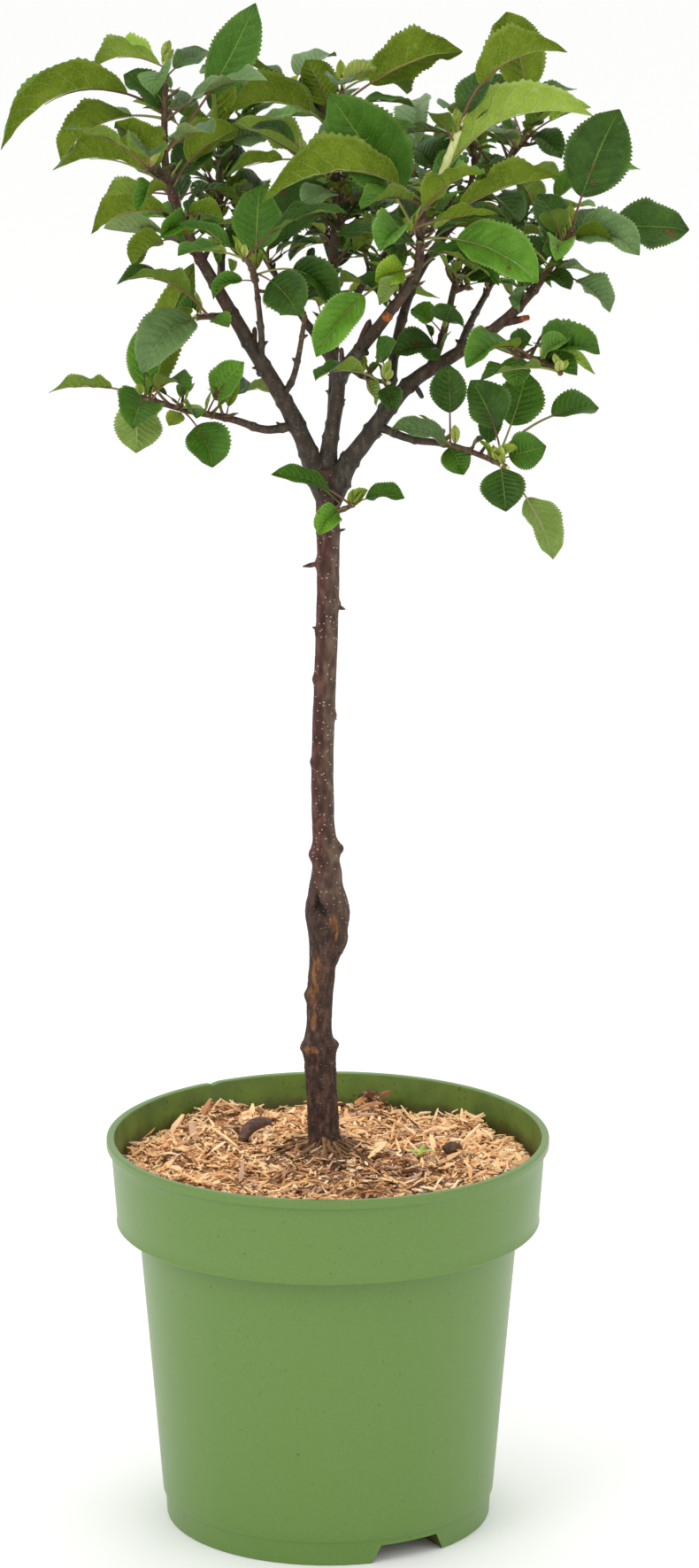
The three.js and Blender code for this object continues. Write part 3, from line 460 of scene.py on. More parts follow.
# Where the wood is darker or paler than elsewhere, as x, y, spread, share and its browns.
PATCHES = ((27, 100, 17, 0.9, DARK_BROWNS), (58, 40, 15, 0.5, DARK_BROWNS),
           (46, -26, 22, 0.7, DARK_BROWNS), (4, -28, 26, 0.6, DARK_BROWNS),
           (-74, 4, 14, 0.3, DARK_BROWNS), (66, -8, 13, 0.75, DARK_BROWNS),
           (0, -74, 52, 0.32, DARK_BROWNS), (-70, 70, 30, 0.12, DARK_BROWNS),
           (96, 4, 42, 0.95, PALE_BROWNS), (60, 70, 24, 0.7, PALE_BROWNS))
# How shavings lie: clear of the wall by edge and a share of their length, and clear of the trunk's
# foot. Short ones prevail by a power. Pitch, roll in degrees and bend are the spreads of their tilts,
# and a tilted one is lifted by a share of its length's rise, and by rest.
LIE = {"edge": 0.3, "inset": 0.35, "short": 1.6, "pitch": 0.45, "roll": 35, "bend": 0.07,
       "lifted": 0.32, "rest": 0.3, "trunk_x": -1.5, "trunk_radius": 9.5}
shaving_paints = [plain(f"wood_{colour[1:]}", colour, 0.85, Specular_IOR_Level=0.2)
                  for colour in SHAVING_BROWNS]


def slivers(centres, lengths, widths, depths, yaws, pitches, rolls, bends):
    """Closed slivers of three cross-sections, as points (n, 12, 3): a pinched square at each end of
    the length and a full one between, lifted by bend, then rolled, pitched and turned to its heading."""
    station = np.array([-0.5, 0.0, 0.5])
    pinch = np.array([0.35, 1.0, 0.45])
    square = np.array([[-0.5, -0.5], [0.5, -0.5], [0.5, 0.5], [-0.5, 0.5]])
    n = len(lengths)
    local = np.zeros((n, 3, 4, 3))
    local[..., 0] = lengths[:, None, None] * station[:, None]
    local[..., 1] = widths[:, None, None] * pinch[:, None] * square[:, 0]
    local[..., 2] = depths[:, None, None] * pinch[:, None] * square[:, 1]
    local[:, 1, :, 2] += (bends * lengths)[:, None]
    local = local.reshape(n, 12, 3)
    for angles, first, second in ((rolls, 1, 2), (pitches, 0, 2), (yaws, 0, 1)):
        c, s = np.cos(angles)[:, None], np.sin(angles)[:, None]
        a, b = local[..., first].copy(), local[..., second].copy()
        local[..., first], local[..., second] = a * c - b * s, a * s + b * c
    return local + centres[:, None, :]


SLIVER_FACES = np.array([
    [3, 2, 1, 0], [8, 9, 10, 11],
    [0, 1, 5, 4], [1, 2, 6, 5], [2, 3, 7, 6], [3, 0, 4, 7],
    [4, 5, 9, 8], [5, 6, 10, 9], [6, 7, 11, 10], [7, 4, 8, 11]])


def add_to_mix(piece):
    """The piece, which lies on the mix, moves with the pot."""
    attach(piece, "root")


def sliver_object(name, shapes, colours, paints):
    """Many slivers joined in one mesh, each with one paint."""
    faces = SLIVER_FACES + 12 * np.arange(len(shapes))[:, None, None]
    picks = np.repeat(colours, len(SLIVER_FACES))
    add_to_mix(mesh_object(name, shapes.reshape(-1, 3), [faces.reshape(-1, 4)], paints, picks, False))


for name, count, length, width, depth, pitch, loose, seed in SHAVING_KINDS:
    draw = np.random.default_rng(seed)
    farthest = MIX_RADIUS - LIE["edge"] - LIE["inset"] * length[1]
    out = farthest * np.sqrt(draw.uniform(0, 1, count))
    heading = draw.uniform(0, 2 * np.pi, count)
    x, y = out * np.cos(heading), out * np.sin(heading)
    keep = np.hypot(x - LIE["trunk_x"], y) > LIE["trunk_radius"]
    x, y = x[keep], y[keep]
    count = len(x)
    lengths = draw.uniform(0, 1, count) ** LIE["short"] * (length[1] - length[0]) + length[0]
    depths = draw.uniform(*depth, count)
    pitches = np.radians(pitch) * draw.normal(0, LIE["pitch"], count)
    lift = LIE["lifted"] * lengths * np.abs(np.sin(pitches)) + LIE["rest"]
    lift += loose * draw.uniform(0, 1, count) ** 2
    colours = draw.choice(len(SHAVING_BROWNS), count, p=SHAVING_SHARES)
    for patch_x, patch_y, spread, most, browns in PATCHES:
        near = np.exp(-((x - patch_x) ** 2 + (y - patch_y) ** 2) / spread ** 2)
        colours = np.where(draw.uniform(0, 1, count) < most * near, draw.choice(browns, count), colours)
    centres = np.stack([x, y, mix_height(x, y) + lift], axis=-1)
    widths = draw.uniform(*width, count)
    yaws = draw.uniform(0, 2 * np.pi, count)
    rolls = np.radians(draw.normal(0, LIE["roll"], count))
    bends = draw.normal(0, LIE["bend"], count)
    shapes = slivers(centres, lengths, widths, depths, yaws, pitches, rolls, bends)
    sliver_object(f"wood_{name}", shapes, colours, shaving_paints)

# Straws and a few big chips that stand out from the rest: x, y, how far the middle stands above the
# bed before it settles, length, width, thickness, heading, pitch and bend, then the colour's number.
# Each is rolled by up to 8 degrees, by a cosine of its x.
SETTLED = 2.2
BIG_SHAVINGS = (
    (-54, 79, 8.0, 18, 1.5, 1.2, -145, 36, 0, 6), (-56, 27, 6.5, 40, 1.7, 1.2, 115, 2, 0.01, 0),
    (-22, -22, 3.4, 29, 3.6, 1.4, 11, 8, 0.03, 1), (-22, -24, 2.6, 27, 1.6, 1.2, 13, 6, 0.03, 2),
    (18, -24, 2.6, 15, 3.6, 1.4, -14, -3, 0.02, 6), (51, -2, 1.8, 14, 2.6, 1.2, -69, 8, 0.04, 3),
    (26, 1, 4.3, 20, 4.6, 1.6, 40, -6, 0.05, 1), (27, 15, 4.3, 11, 4.4, 1.8, 36, 8, 0.06, 0),
    (58, -29, 2.4, 13, 3, 1.8, -18, -5, 0.05, 5), (-46, -38, 7.0, 16, 2.6, 1.2, 80, 52, 0.02, 9),
    (-84, 0, 2.7, 14, 3, 1.8, 50, 3, 0.06, 7), (-66, -3, 3.1, 16, 2.4, 1.6, 40, 3, 0.04, 7),
    (-80, 17, 3, 12, 4.4, 1.4, -41, 1, 0.05, 6), (-84, 58, 6.5, 17, 4.4, 1.3, 52, 40, 0.04, 6),
    (-74, 42, 5.4, 15, 4.2, 1.2, 109, 35, 0.04, 9), (-106, 24, 5.0, 10, 2.6, 1, 111, 49, 0.03, 3),
    (16, 76, 4.4, 20, 4.4, 2.4, -5, 9, 0.05, 9), (22, 80, 7.2, 16, 2.6, 1.6, 20, 8, 0.05, 4),
    (61, -58, 3.4, 10, 3.8, 1.3, -14, -44, 0.03, 1), (77, 26, 8.5, 21, 1.9, 1.6, 48, 26, 0, 0),
    (-16, 75, 2.8, 16, 3.2, 1.4, 60, 22, 0.04, 1), (-27, 98, 3.4, 9, 3, 1.4, 1, 34, 0.04, 6),
    (-68, 78, 5.3, 15, 3.4, 1.6, 60, 42, 0.05, 4), (-50, 45, 3, 13, 3.6, 1.4, -17, -13, 0.05, 1),
    (19, -55, 1.7, 18, 3, 1.2, 44, -2, 0.03, 0), (-4, -58, 2.6, 17, 2.8, 1.2, 58, 20, 0.03, 2),
    (-18, -51, 1.6, 13, 3.2, 1.2, -9, 12, 0.04, 3), (95, 20, 2.9, 16, 2.6, 1, -36, -5, 0.03, 2),
    (83, -5, 2.3, 18, 2.6, 1, 50, -7, 0.03, 0), (47, 29, 2.5, 14, 3.2, 1.3, 24, 12, 0.03, 1),
    (69, 50, 2.4, 9, 3.4, 1.5, -10, -4, 0.03, 5), (-94, -4, 2.9, 11, 3.2, 1.2, -63, -7, 0.03, 3),
    (-55, -32, 2.2, 18, 2.8, 1.2, -66, 3, 0.03, 6), (31, 96, 8.0, 9, 4.6, 3.0, 30, 30, 0.08, 5),
    (24, 92, 7.4, 8, 4.2, 3.0, -40, 20, 0.08, 7), (44, -27, 2.2, 9, 5.0, 3.0, 15, 10, 0.06, 7),
    (-38, 66, 6.0, 14, 3.2, 1.4, -30, 12, 0.05, 5), (88, 44, 4.0, 12, 2.6, 1.2, 130, 24, 0.03, 2),
)
big = np.array(BIG_SHAVINGS, float)
x, y, above, lengths, widths, depths, yaws, pitches, bends, colours = big.T
centres = np.stack([x, y, mix_height(x, y) + above - SETTLED], axis=-1)
rolls = 8 * np.cos(7 * x)
shapes = slivers(centres, lengths, widths, depths, *np.radians([yaws, pitches, rolls]), bends)
sliver_object("wood_straws", shapes, colours.astype(int), shaving_paints)


# ---- Bark flake, lump and seedling ----
# A curved flake of dark bark stands in the mix at the back left, a lump of dark soil lies to the right
# of the trunk, and a weed seedling with a few bright leaves has come up between them.
FLAKE = {"low": (-47, 25, 0.5), "run": (16, 10, 9.5), "bow": 8.2, "hollow": 2.6, "bulge": 2.0,
         "rough": 0.3, "thick": 1.3, "facing": (0, -0.97, 0.24), "rows": 21, "columns": 8}
LUMP = {"place": (67.0, 0.0, 2.6), "size": (5.4, 4.4, 3.2), "rows": 12, "sides": 20, "lumps": 0.25}
# The seedling's leaves as heading, pitch, length and width.
SEEDLING = {"place": (50.5, -9.0, 4.6), "stem": 5.5, "stem_width": 0.8, "thick": 0.35,
            "cup": 0.25, "arch": 1.2, "leaves": ((195, -10, 6.4, 4.0), (340, -14, 6.6, 3.8),
                                                 (250, -4, 5.2, 3.2), (80, -30, 4.6, 3.2))}
SEEDLING_GREENS = ("#86b832", "#b3c552", "#6fa32c", "#9cc446")
flake_paint = patterned("bark_flake", 260, 5, [(0.35, "#432f29"), (0.6, "#694e44"), (0.75, "#907163")],
                        (0.6, 0.8), [(500, 0.0006)], stretch=(1, 4, 1))
lump_paint = patterned("dark_lump", 300, 6, [(0.35, "#33241a"), (0.65, "#6b4c34")],
                       (0.8, 0.95), [(500, 0.001)])
seedling_paints = [
    patterned(f"seedling_{k}", 300, 3, [(0.35, colour), (0.65, SEEDLING_GREENS[k - 1])], (0.4, 0.55), [])
    for k, colour in enumerate(SEEDLING_GREENS)]


def turned(points, heading, pitch, place):
    """Points pitched about y and headed about z, in degrees, then moved to their place."""
    for angle, first, second in ((pitch, 2, 0), (heading, 0, 1)):
        c, s = math.cos(math.radians(angle)), math.sin(math.radians(angle))
        a, b = points[..., first].copy(), points[..., second].copy()
        points[..., first], points[..., second] = a * c - b * s, a * s + b * c
    return points + place


def grid_faces(rows, columns):
    """Quads of an open grid, facing along the cross product of its column and its row direction."""
    row, column = np.meshgrid(np.arange(rows - 1), np.arange(columns - 1), indexing="ij")
    corner = (row * columns + column).ravel()
    return np.stack([corner, corner + 1, corner + columns + 1, corner + columns], axis=-1)


def shell(face, thick):
    """A closed thin body from a grid: the face, a back set off along the grid's normals, and a rim."""
    rows, columns = face.shape[:2]
    normal = np.cross(np.gradient(face, axis=1), np.gradient(face, axis=0))
    normal /= np.linalg.norm(normal, axis=-1)[..., None]
    back = face - thick * normal
    size = rows * columns
    edge = np.concatenate([
        np.arange(columns - 1), np.arange(rows - 1) * columns + columns - 1,
        size - 1 - np.arange(columns - 1), (rows - 1 - np.arange(rows - 1)) * columns])
    rim = np.stack([edge, edge + size, np.roll(edge, -1) + size, np.roll(edge, -1)], axis=-1)
    front = grid_faces(rows, columns)
    points = np.concatenate([face.reshape(-1, 3), back.reshape(-1, 3)])
    return points, np.concatenate([front, front[:, ::-1] + size, rim])


def on_mix(place):
    """A place given as x, y and the height above the bed."""
    x, y, above = place
    return np.array([x, y, mix_height(x, y) + above])


# The flake's lower edge bows out by hollow (1 - long^2) from the line between its ends, and its upper
# edge by bow (1 - long^2)^0.6. Its face bulges by bulge (1 - (2 over - 1)^2)(1 - 0.6 long^2).
long, over = np.meshgrid(np.linspace(-1, 1, FLAKE["rows"]), np.linspace(0, 1, FLAKE["columns"]),
                         indexing="ij")
low, run = on_mix(FLAKE["low"]), np.array(FLAKE["run"], float)
away = np.cross(FLAKE["facing"], run / np.linalg.norm(run))
spots = np.stack([long, over, 0 * over], axis=-1)
height = (FLAKE["bow"] * np.clip(1 - long ** 2, 0.02, 1) ** 0.6 * over
          + FLAKE["hollow"] * (1 - long ** 2) * (1 - over))
bulge = FLAKE["bulge"] * (1 - (2 * over - 1) ** 2) * (1 - 0.6 * long ** 2)
bulge += FLAKE["rough"] * ripple(spots, 0.6, 31)
flake_face = (low + run * (long[..., None] + 1) / 2 + away * height[..., None]
              + np.array(FLAKE["facing"]) * bulge[..., None])
points, faces = shell(flake_face, FLAKE["thick"])
add_to_mix(mesh_object("bark_flake", points, [faces], [flake_paint]))


def ball(rows, columns, size, lumps, seed):
    """A lumpy ball as rings from pole to pole: size times (sin p cos a, sin p sin a, -cos p), its
    radius multiplied by 1 + lumps times a ripple, and closed with one point at each pole."""
    polar = np.linspace(0, np.pi, rows + 2)[1:-1]
    around = np.arange(columns) * 2 * np.pi / columns
    rings = np.stack([np.sin(polar)[:, None] * np.cos(around), np.sin(polar)[:, None] * np.sin(around),
                      -np.cos(polar)[:, None] + 0 * around], axis=-1)
    points, faces = capped(rings, (0, 0, -1), (0, 0, 1))
    return points * (1 + lumps * ripple(points, 0.9, seed))[:, None] * np.array(size), faces


points, faces = ball(LUMP["rows"], LUMP["sides"], LUMP["size"], LUMP["lumps"], 41)
add_to_mix(mesh_object("dark_lump", points + on_mix(LUMP["place"]), faces, [lump_paint]))

# Each seedling leaf is a small oval: its half width is width/2 sin(pi u)^0.8, and it folds up at the
# middle and arches. The stem is one upright sliver.
u, over = np.meshgrid(np.linspace(0.02, 0.98, 9), np.linspace(-1, 1, 5), indexing="ij")
seedling_place = on_mix(SEEDLING["place"])
sets, face_sets, picks = [], [], []
for number, (heading, pitch, length, width) in enumerate(SEEDLING["leaves"]):
    half = width / 2 * np.sin(np.pi * u) ** 0.8
    lift = SEEDLING["cup"] * np.abs(over) * half + SEEDLING["arch"] * u * (1 - u)
    points, faces = shell(np.stack([length * u + 0.6, over * half, lift], axis=-1), SEEDLING["thick"])
    face_sets.append(faces + sum(len(points) for points in sets))
    sets.append(turned(points, heading, pitch, seedling_place))
    picks.append(np.full(len(faces), number))
lengths, widths = np.array([SEEDLING["stem"] + 0.8]), np.array([SEEDLING["stem_width"]])
none, upright = np.zeros(1), np.array([np.pi / 2])
middle = seedling_place - [0, 0, SEEDLING["stem"] / 2]
stem = slivers(middle[None], lengths, widths, widths, none, upright, none, none)
face_sets.append(SLIVER_FACES + sum(len(points) for points in sets))
sets.append(stem[0])
picks.append(np.zeros(len(SLIVER_FACES)))
seedling = mesh_object("weed_seedling", np.concatenate(sets), face_sets, seedling_paints,
                       np.concatenate(picks))
add_to_mix(seedling)


# ---- Trunk ----
# One straight stem of a dwarf rootstock with the fruiting variety grafted on a hand's breadth up. Below
# the union the bark is dark and rough, above it smooth and purplish with pale breathing pores.
TRUNK = {
    "foot": 203.0, "top": 578.0, "below": 195.0, "sides": 88, "rings": 700,
    "line": [[-1.5, 0, 203], [-4.6, 0, 262], [-4.4, 0, 283], [-3.3, 0, 303], [-0.3, 0, 325],
             [-1, 0, 360], [-2.7, 0, 415], [0.3, 0, 510], [0.3, 0, 562], [-0.5, 0, 578]],
}
# Radius by height: the foot, the ring knob, the thin part, the graft union, the twin knobs and the fork.
TRUNK_RADII = [
    (195, 9.0), (205, 8.9), (225, 8.2), (250, 8.3), (259, 8.6), (262, 9.1), (265, 9.0), (268, 7.7),
    (275, 6.9), (290, 6.8), (300, 6.9), (310, 7.3), (318, 8.4), (326, 10.0), (334, 11.3), (342, 11.1),
    (350, 9.3), (357, 7.9), (364, 7.0), (372, 6.9), (380, 6.2), (395, 6.0), (450, 5.9), (520, 5.9),
    (540, 6.1), (544, 6.5), (549, 6.1), (562, 6.5), (574, 7.5), (578, 7.7)]
# Knots as height, heading, extra radius, spread in height and spread round the stem in radians.
KNOTS = [
    (373, -6, 3.2, 4.0, 0.5), (369, 184, 2.1, 3.6, 0.45), (361, -4, 1.1, 6, 0.7),
    (341, -25, 0.9, 8, 0.8), (319, 2, 2.2, 7, 0.75), (337, 175, 0.6, 9, 0.8), (291, 182, 1.9, 3, 0.45),
    (262, 186, 1.2, 2.6, 0.5), (264, -4, 1.6, 2.6, 0.5), (330, -95, 0.8, 7, 0.6),
    (312, 150, 0.8, 6, 0.6), (352, 90, 1.2, 7, 0.9), (325, 80, 1.4, 8, 0.9), (505, 2, 1.3, 2.6, 0.5),
    (527, 182, 1.4, 3.0, 0.5), (491, 184, 0.7, 2.4, 0.4), (445, 6, 1.0, 2.4, 0.4),
    (465, 186, 1.0, 2.6, 0.5), (420, 176, 0.9, 2.2, 0.4), (480, -80, 0.5, 3, 0.6),
    (335, -112, 1.3, 2.0, 0.2), (222, 120, 0.8, 5, 0.7)]
# Growth lines that ring a knot, one pitch apart: height, heading, reach and the rise of the lines.
GROWTH_LINES = [(373, -40, 5, 0.4), (335, -35, 10, 0.35), (335, -112, 5, 0.3), (369, 215, 4, 0.3)]
GROWTH_PITCH = 2.2
# The hole under the old cut of the graft, as height, heading, depth and spreads.
HOLES = [(346.8, -122, 2.2, 2.6, 0.12), (343.8, -122, 2.6, 2.4, 0.2), (342.4, -112, 2.8, 2.0, 0.2),
         (340.8, -103, 2.6, 1.8, 0.18), (339.2, -95, 2.2, 1.6, 0.15), (341.4, -131, 2.0, 2.2, 0.16)]
# Stubs of old shoots as height, heading, length past the bark, rise and radius.
STUBS = [(528, 180, 7.6, -2.4, 2.1), (506, 0, 3.4, -3.4, 2.2), (490, 182, 1.8, 3.2, 1.7),
         (465, 188, 0.9, 0.5, 1.8), (446, 6, 1.0, -3.0, 1.5), (420, 176, 1.0, 0.5, 1.5),
         (543, 5, 2.8, 2.6, 1.6), (550, 215, 1.8, 1.5, 1.4)]
# Strips where the outer bark has worn off to a ruddy brown: height, heading, half height, half width.
WORN = [(334, -74, 6, 0.26), (306, -122, 9, 0.5), (294, -122, 8, 0.6), (278, -116, 6, 0.28),
        (263, -128, 2.2, 0.7), (327, -60, 4, 0.12), (352, 150, 8, 0.3), (310, 60, 12, 0.3),
        (285, 110, 9, 0.2)]
WORN_DEEP = 0.35
# Where the bark changes, each as a height and how softly: the foot that spreads in lobes, the ring
# knob, the graft union, which slants down to the right, and the fork.
FOOT_SPREAD = {"height": 199, "soft": 9, "lobes": 5, "deep": 1.0, "turned": 0.7}
RING = {"height": 261, "soft": 2}
UNION = {"height": 344, "soft": 4, "slant": 12}
FORK = {"height": 553, "soft": 5}
# The rind's grains, each as its shrinking upwards, wavelength and seed, then its height on young bark
# and what rough bark and the roughest add to that.
GRAINS = {"tall": (0.16, 1.9, 61, 0.08, 0.14, 0), "fine": (0.6, 1.1, 62, 0.04, 0.11, 0.16),
          "lumps": (0.6, 9, 63, 0.14, 0.3, 0)}
# How far each point of the bark is young, worn, ruddy (on the trunk's left side a ruddy tint with
# painted shade) or in a hole or crack that is painted near-black as shade, from 0 to 1.
BARK_SHARES = ("youth", "worn", "ruddy_and_shade", "hollow")


def smooth_line(points, steps=8):
    """A Catmull-Rom line through points, with a number of steps from each to the next: a cubic whose
    slope at a point is half the way between its neighbours. Comes with the length up to each dot."""
    nodes = np.array(points, float)
    ends = np.concatenate([[2 * nodes[0] - nodes[1]], nodes, [2 * nodes[-1] - nodes[-2]]])
    at = np.arange(steps * (len(nodes) - 1) + 1) / steps
    span = np.minimum(at.astype(int), len(nodes) - 2)
    t = (at - span)[:, None]
    before, start, end, beyond = (ends[span + i] for i in range(4))
    slope_in, slope_out = 0.5 * (end - before), 0.5 * (beyond - start)
    dots = (start + slope_in * t + (-3 * start + 3 * end - 2 * slope_in - slope_out) * t ** 2
            + (2 * start - 2 * end + slope_in + slope_out) * t ** 3)
    reached = np.concatenate([[0], np.cumsum(np.linalg.norm(np.diff(dots, axis=0), axis=1))])
    return {"dots": dots, "reached": reached, "length": reached[-1]}


def point_at(line, share):
    """The place at a share of a line's length, or the places at several shares."""
    distance = np.clip(share, 0, 1) * line["length"]
    parts = [np.interp(distance, line["reached"], line["dots"][:, i]) for i in range(3)]
    return np.stack(parts, axis=-1)


def direction_at(line, share):
    """The unit direction from 2 mm before to 2 mm after a share of a line's length."""
    step = 2 / line["length"]
    ahead = point_at(line, share + step) - point_at(line, share - step)
    return ahead / np.linalg.norm(ahead, axis=-1, keepdims=True)


def tube(line, shares, radius, sides):
    """Rings round a line, (rings, sides, 3): each ring is centre + radius times (across cos a +
    along x across sin a), with across kept square to the line from one fixed heading."""
    centre, along = point_at(line, shares), direction_at(line, shares)
    fixed = np.array([0.8, -0.6, 0.0])
    across = fixed - (along @ fixed)[:, None] * along
    across /= np.linalg.norm(across, axis=1)[:, None]
    third = np.cross(along, across)
    turn = np.arange(sides) * 2 * np.pi / sides
    spoke = across[:, None] * np.cos(turn)[:, None] + third[:, None] * np.sin(turn)[:, None]
    return centre[:, None] + spoke * radius[:, None, None]


def bark_object(name, bodies, material):
    """One mesh of many capped tubes, with the shares of its bark kept as attributes. A body is given
    as its points, its faces, and one row of shares for each point or for them all."""
    counts = [len(points) for points, _, _ in bodies]
    first = np.cumsum([0, *counts])
    ends = [faces + start for (_, sets, _), start in zip(bodies, first) for faces in sets[1:]]
    walls = [sets[0] + start for (_, sets, _), start in zip(bodies, first)]
    points = np.concatenate([points for points, _, _ in bodies])
    made = mesh_object(name, points, [np.concatenate(ends), np.concatenate(walls)], [material])
    values = np.concatenate([np.broadcast_to(values, (count, len(BARK_SHARES)))
                             for (_, _, values), count in zip(bodies, counts)])
    for kind, column in zip(BARK_SHARES, values.T.astype(np.float32)):
        attribute = made.data.attributes.new(kind, "FLOAT", "POINT")
        attribute.data.foreach_set("value", np.ascontiguousarray(column))
    return made


radius_line = smooth_line([[radius, 0, height] for height, radius in TRUNK_RADII])


def trunk_radius(height):
    """Radius of the stem at a height, read off the smooth line through the table."""
    return np.interp(height, radius_line["dots"][:, 2], radius_line["dots"][:, 0])


def round_gap(turn, heading):
    """The angle between a turn and a heading in degrees, from -pi to pi."""
    return (turn - math.radians(heading) + np.pi) % (2 * np.pi) - np.pi


def bell(level, heading, tall, wide):
    """1 at a height and heading on the stem, falling as exp(-(dh/tall)^2 - (da/wide)^2) around it."""
    return np.exp(-((height - level) / tall) ** 2 - (round_gap(turn, heading) / wide) ** 2)


def below(level, soft):
    """1 well below a height on the stem and 0 well above it: 1/(1 + exp(dh/soft))."""
    return 1 / (1 + np.exp((height - level) / soft))


def middle_at(level):
    """The middle of the stem at a height, or the middles at several heights."""
    return point_at(trunk_line, (level - TRUNK["foot"]) / (TRUNK["top"] - TRUNK["foot"]))


trunk_line = smooth_line(TRUNK["line"])
height = np.linspace(TRUNK["below"], TRUNK["top"], TRUNK["rings"])[:, None]
turn = (np.arange(TRUNK["sides"]) * 2 * np.pi / TRUNK["sides"])[None]
centre = middle_at(height[:, 0])
radius = trunk_radius(height) + 0 * turn
for level, heading, extra, tall, wide in KNOTS:
    radius += extra * bell(level, heading, tall, wide)
for level, heading, reach, rise in GROWTH_LINES:
    away = np.hypot(height - level, round_gap(turn, heading) * trunk_radius(level))
    radius += rise * np.cos(2 * np.pi * away / GROWTH_PITCH) * np.exp(-(away / reach) ** 2)
# The hole is sunk into the stem and painted near-black there as shade.
hollow = np.zeros_like(radius)
for level, heading, deep, tall, wide in HOLES:
    radius -= deep * bell(level, heading, tall, wide)
    hollow = np.maximum(hollow, bell(level, heading, 0.8 * tall, 0.8 * wide))
spread = np.exp(-((height - FOOT_SPREAD["height"]) / FOOT_SPREAD["soft"]) ** 2)
radius += FOOT_SPREAD["deep"] * spread * np.cos(
    FOOT_SPREAD["lobes"] * turn + FOOT_SPREAD["turned"])
rings = np.stack([centre[:, :1] + radius * np.cos(turn), centre[:, 1:2] + radius * np.sin(turn),
                  height + 0 * turn], axis=-1)
# The bark is rougher below the union, and roughest below the ring knob.
facing_left = -np.cos(turn)
rough = below(UNION["height"] + UNION["slant"] * facing_left, UNION["soft"])
very_rough = below(RING["height"], RING["soft"])
grains, rind = {}, 0
for name, (shrink, wave, seed, young, more, most) in GRAINS.items():
    grains[name] = ripple(rings * [1, 1, shrink], wave, seed)
    rind = rind + (young + more * rough + most * very_rough) * grains[name]
worn = np.zeros_like(radius)
worn_edge = 0.5 * ripple(rings * [1, 1, 0.3], 2.2, 64)
for level, heading, tall, wide in WORN:
    away = ((height - level) / tall) ** 2 + (round_gap(turn, heading) / wide) ** 2
    worn = np.maximum(worn, np.clip(1.3 * (1.1 - away + worn_edge), 0, 1))
rind -= WORN_DEEP * worn
rings[..., 0] += rind * np.cos(turn)
rings[..., 1] += rind * np.sin(turn)
# The young bark is ruddy and painted darker on the left in tall streaks, as shade on that side.
streaks = 0.3 * ripple(rings * [1, 1, 0.15], 9, 65)
ruddy_and_shade = np.clip((facing_left + 0.2 + streaks) / 0.5, 0, 1) * (1 - rough)
# Below the hole of the union, cracked bark is painted near-black as shade in its cracks.
hollow = hollow * 1.6 + 0.6 * bell(330, -122, 10, 0.62) * (0.75 + 0.6 * grains["fine"])
# Round the fork the stem is as dark and grey as the boughs.
collar = 1 - below(FORK["height"], FORK["soft"]) + 0 * turn
shares = np.stack([(1 - rough) * (1 - 0.6 * collar), worn, ruddy_and_shade * (1 - collar),
                   np.maximum(np.clip(hollow, 0, 1), 0.3 * collar)], axis=-1).reshape(-1, 4)
# The last two points close the tube, in old bark at the foot and in young bark at the top.
shares = np.concatenate([shares, [[0, 0, 0, 0], [1, 0, 0, 0]]])
stem = capped(rings, rings[0].mean(axis=0), rings[-1].mean(axis=0) + [0, 0, 2])
bark = [(*stem, shares)]


def add_stub(wood, root, tip, radius, shares, sides=10, rings=8, taper=0.5, blunt=4):
    """A short stub: a straight tube whose radius is (1 - taper s) sqrt(1 - 0.92 s^blunt) of its
    root's at a share s of its length, with a rough skin."""
    line = smooth_line([root, tip], 2)
    share = np.linspace(0, 1, rings)
    body = tube(line, share, radius * (1 - taper * share) * np.sqrt(1 - 0.92 * share ** blunt), sides)
    body += 0.14 * ripple(body, 2.2, 71)[..., None] * (body - point_at(line, share)[:, None])
    wood.append((*capped(body, root, tip), shares))


for level, heading, length, rise, radius in STUBS:
    root, heading = middle_at(level), math.radians(heading)
    reach = trunk_radius(level) + length
    tip = root + [math.cos(heading) * reach, math.sin(heading) * reach, rise]
    add_stub(bark, root, tip, radius, (0.6, 0, 0.5, 0))


def bark_material(name, old, young, worn, ruddy_and_shade, pore, roughness, bumps):
    """Bark in noise colours for each of its shares, laid over one another, then pale breathing pores:
    short level dashes where a Voronoi pattern of the object's own coordinates is near the middle of
    a cell."""
    grain = (1, 1, 0.45)
    material = patterned(name, 330, 6, old, roughness, bumps, stretch=grain, Specular_IOR_Level=0.25)
    tree = material.node_tree
    # Holes and cracks are painted near-black, as shade in them.
    hollow = [(0.3, "#0f0b09"), (0.7, "#2a1f1b")]
    shares = {kind: add_node(tree, "Attribute", {"attribute_name": kind}).outputs["Fac"]
              for kind in BARK_SHARES}
    # Worn bark comes off in narrow tall strips.
    strips = ease(tree, noise(tree, 620, 3, (1, 1, 0.22)), 0.26, 0.5)
    laid = shares | {"worn": times(tree, shares["worn"], strips)}
    for kind, colours in zip(BARK_SHARES, (young, worn, ruddy_and_shade, hollow)):
        lay_over(material, laid[kind], ramp(tree, noise(tree, 300, 5, grain), colours))
    cells = add_node(tree, "TexVoronoi", Vector=coordinates(tree, (1, 1, 1.7)), Scale=330)
    dots = rest(tree, ease(tree, cells.outputs["Distance"], 0.1, 0.2))
    shown = maths(tree, "MULTIPLY_ADD", shares["youth"], 0.65, 0.2)
    lay_over(material, times(tree, dots, shown), pore)
    return material


trunk_bark = bark_material(
    "trunk_bark", [(0.3, "#261a15"), (0.5, "#412e25"), (0.72, "#694e42")],
    [(0.3, "#3d2d24"), (0.5, "#554236"), (0.72, "#725f4e")],
    [(0.3, "#4a2f1d"), (0.5, "#744c2d"), (0.7, "#92663d")],
    [(0.3, "#301a15"), (0.5, "#482a24"), (0.72, "#68463c")], "#d0bba2",
    (0.55, 0.8), [(300, 0.0008), (1000, 0.0005)])
trunk = bark_object("trunk_bark", bark, trunk_bark)
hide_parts("trunk")
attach(trunk, "root")

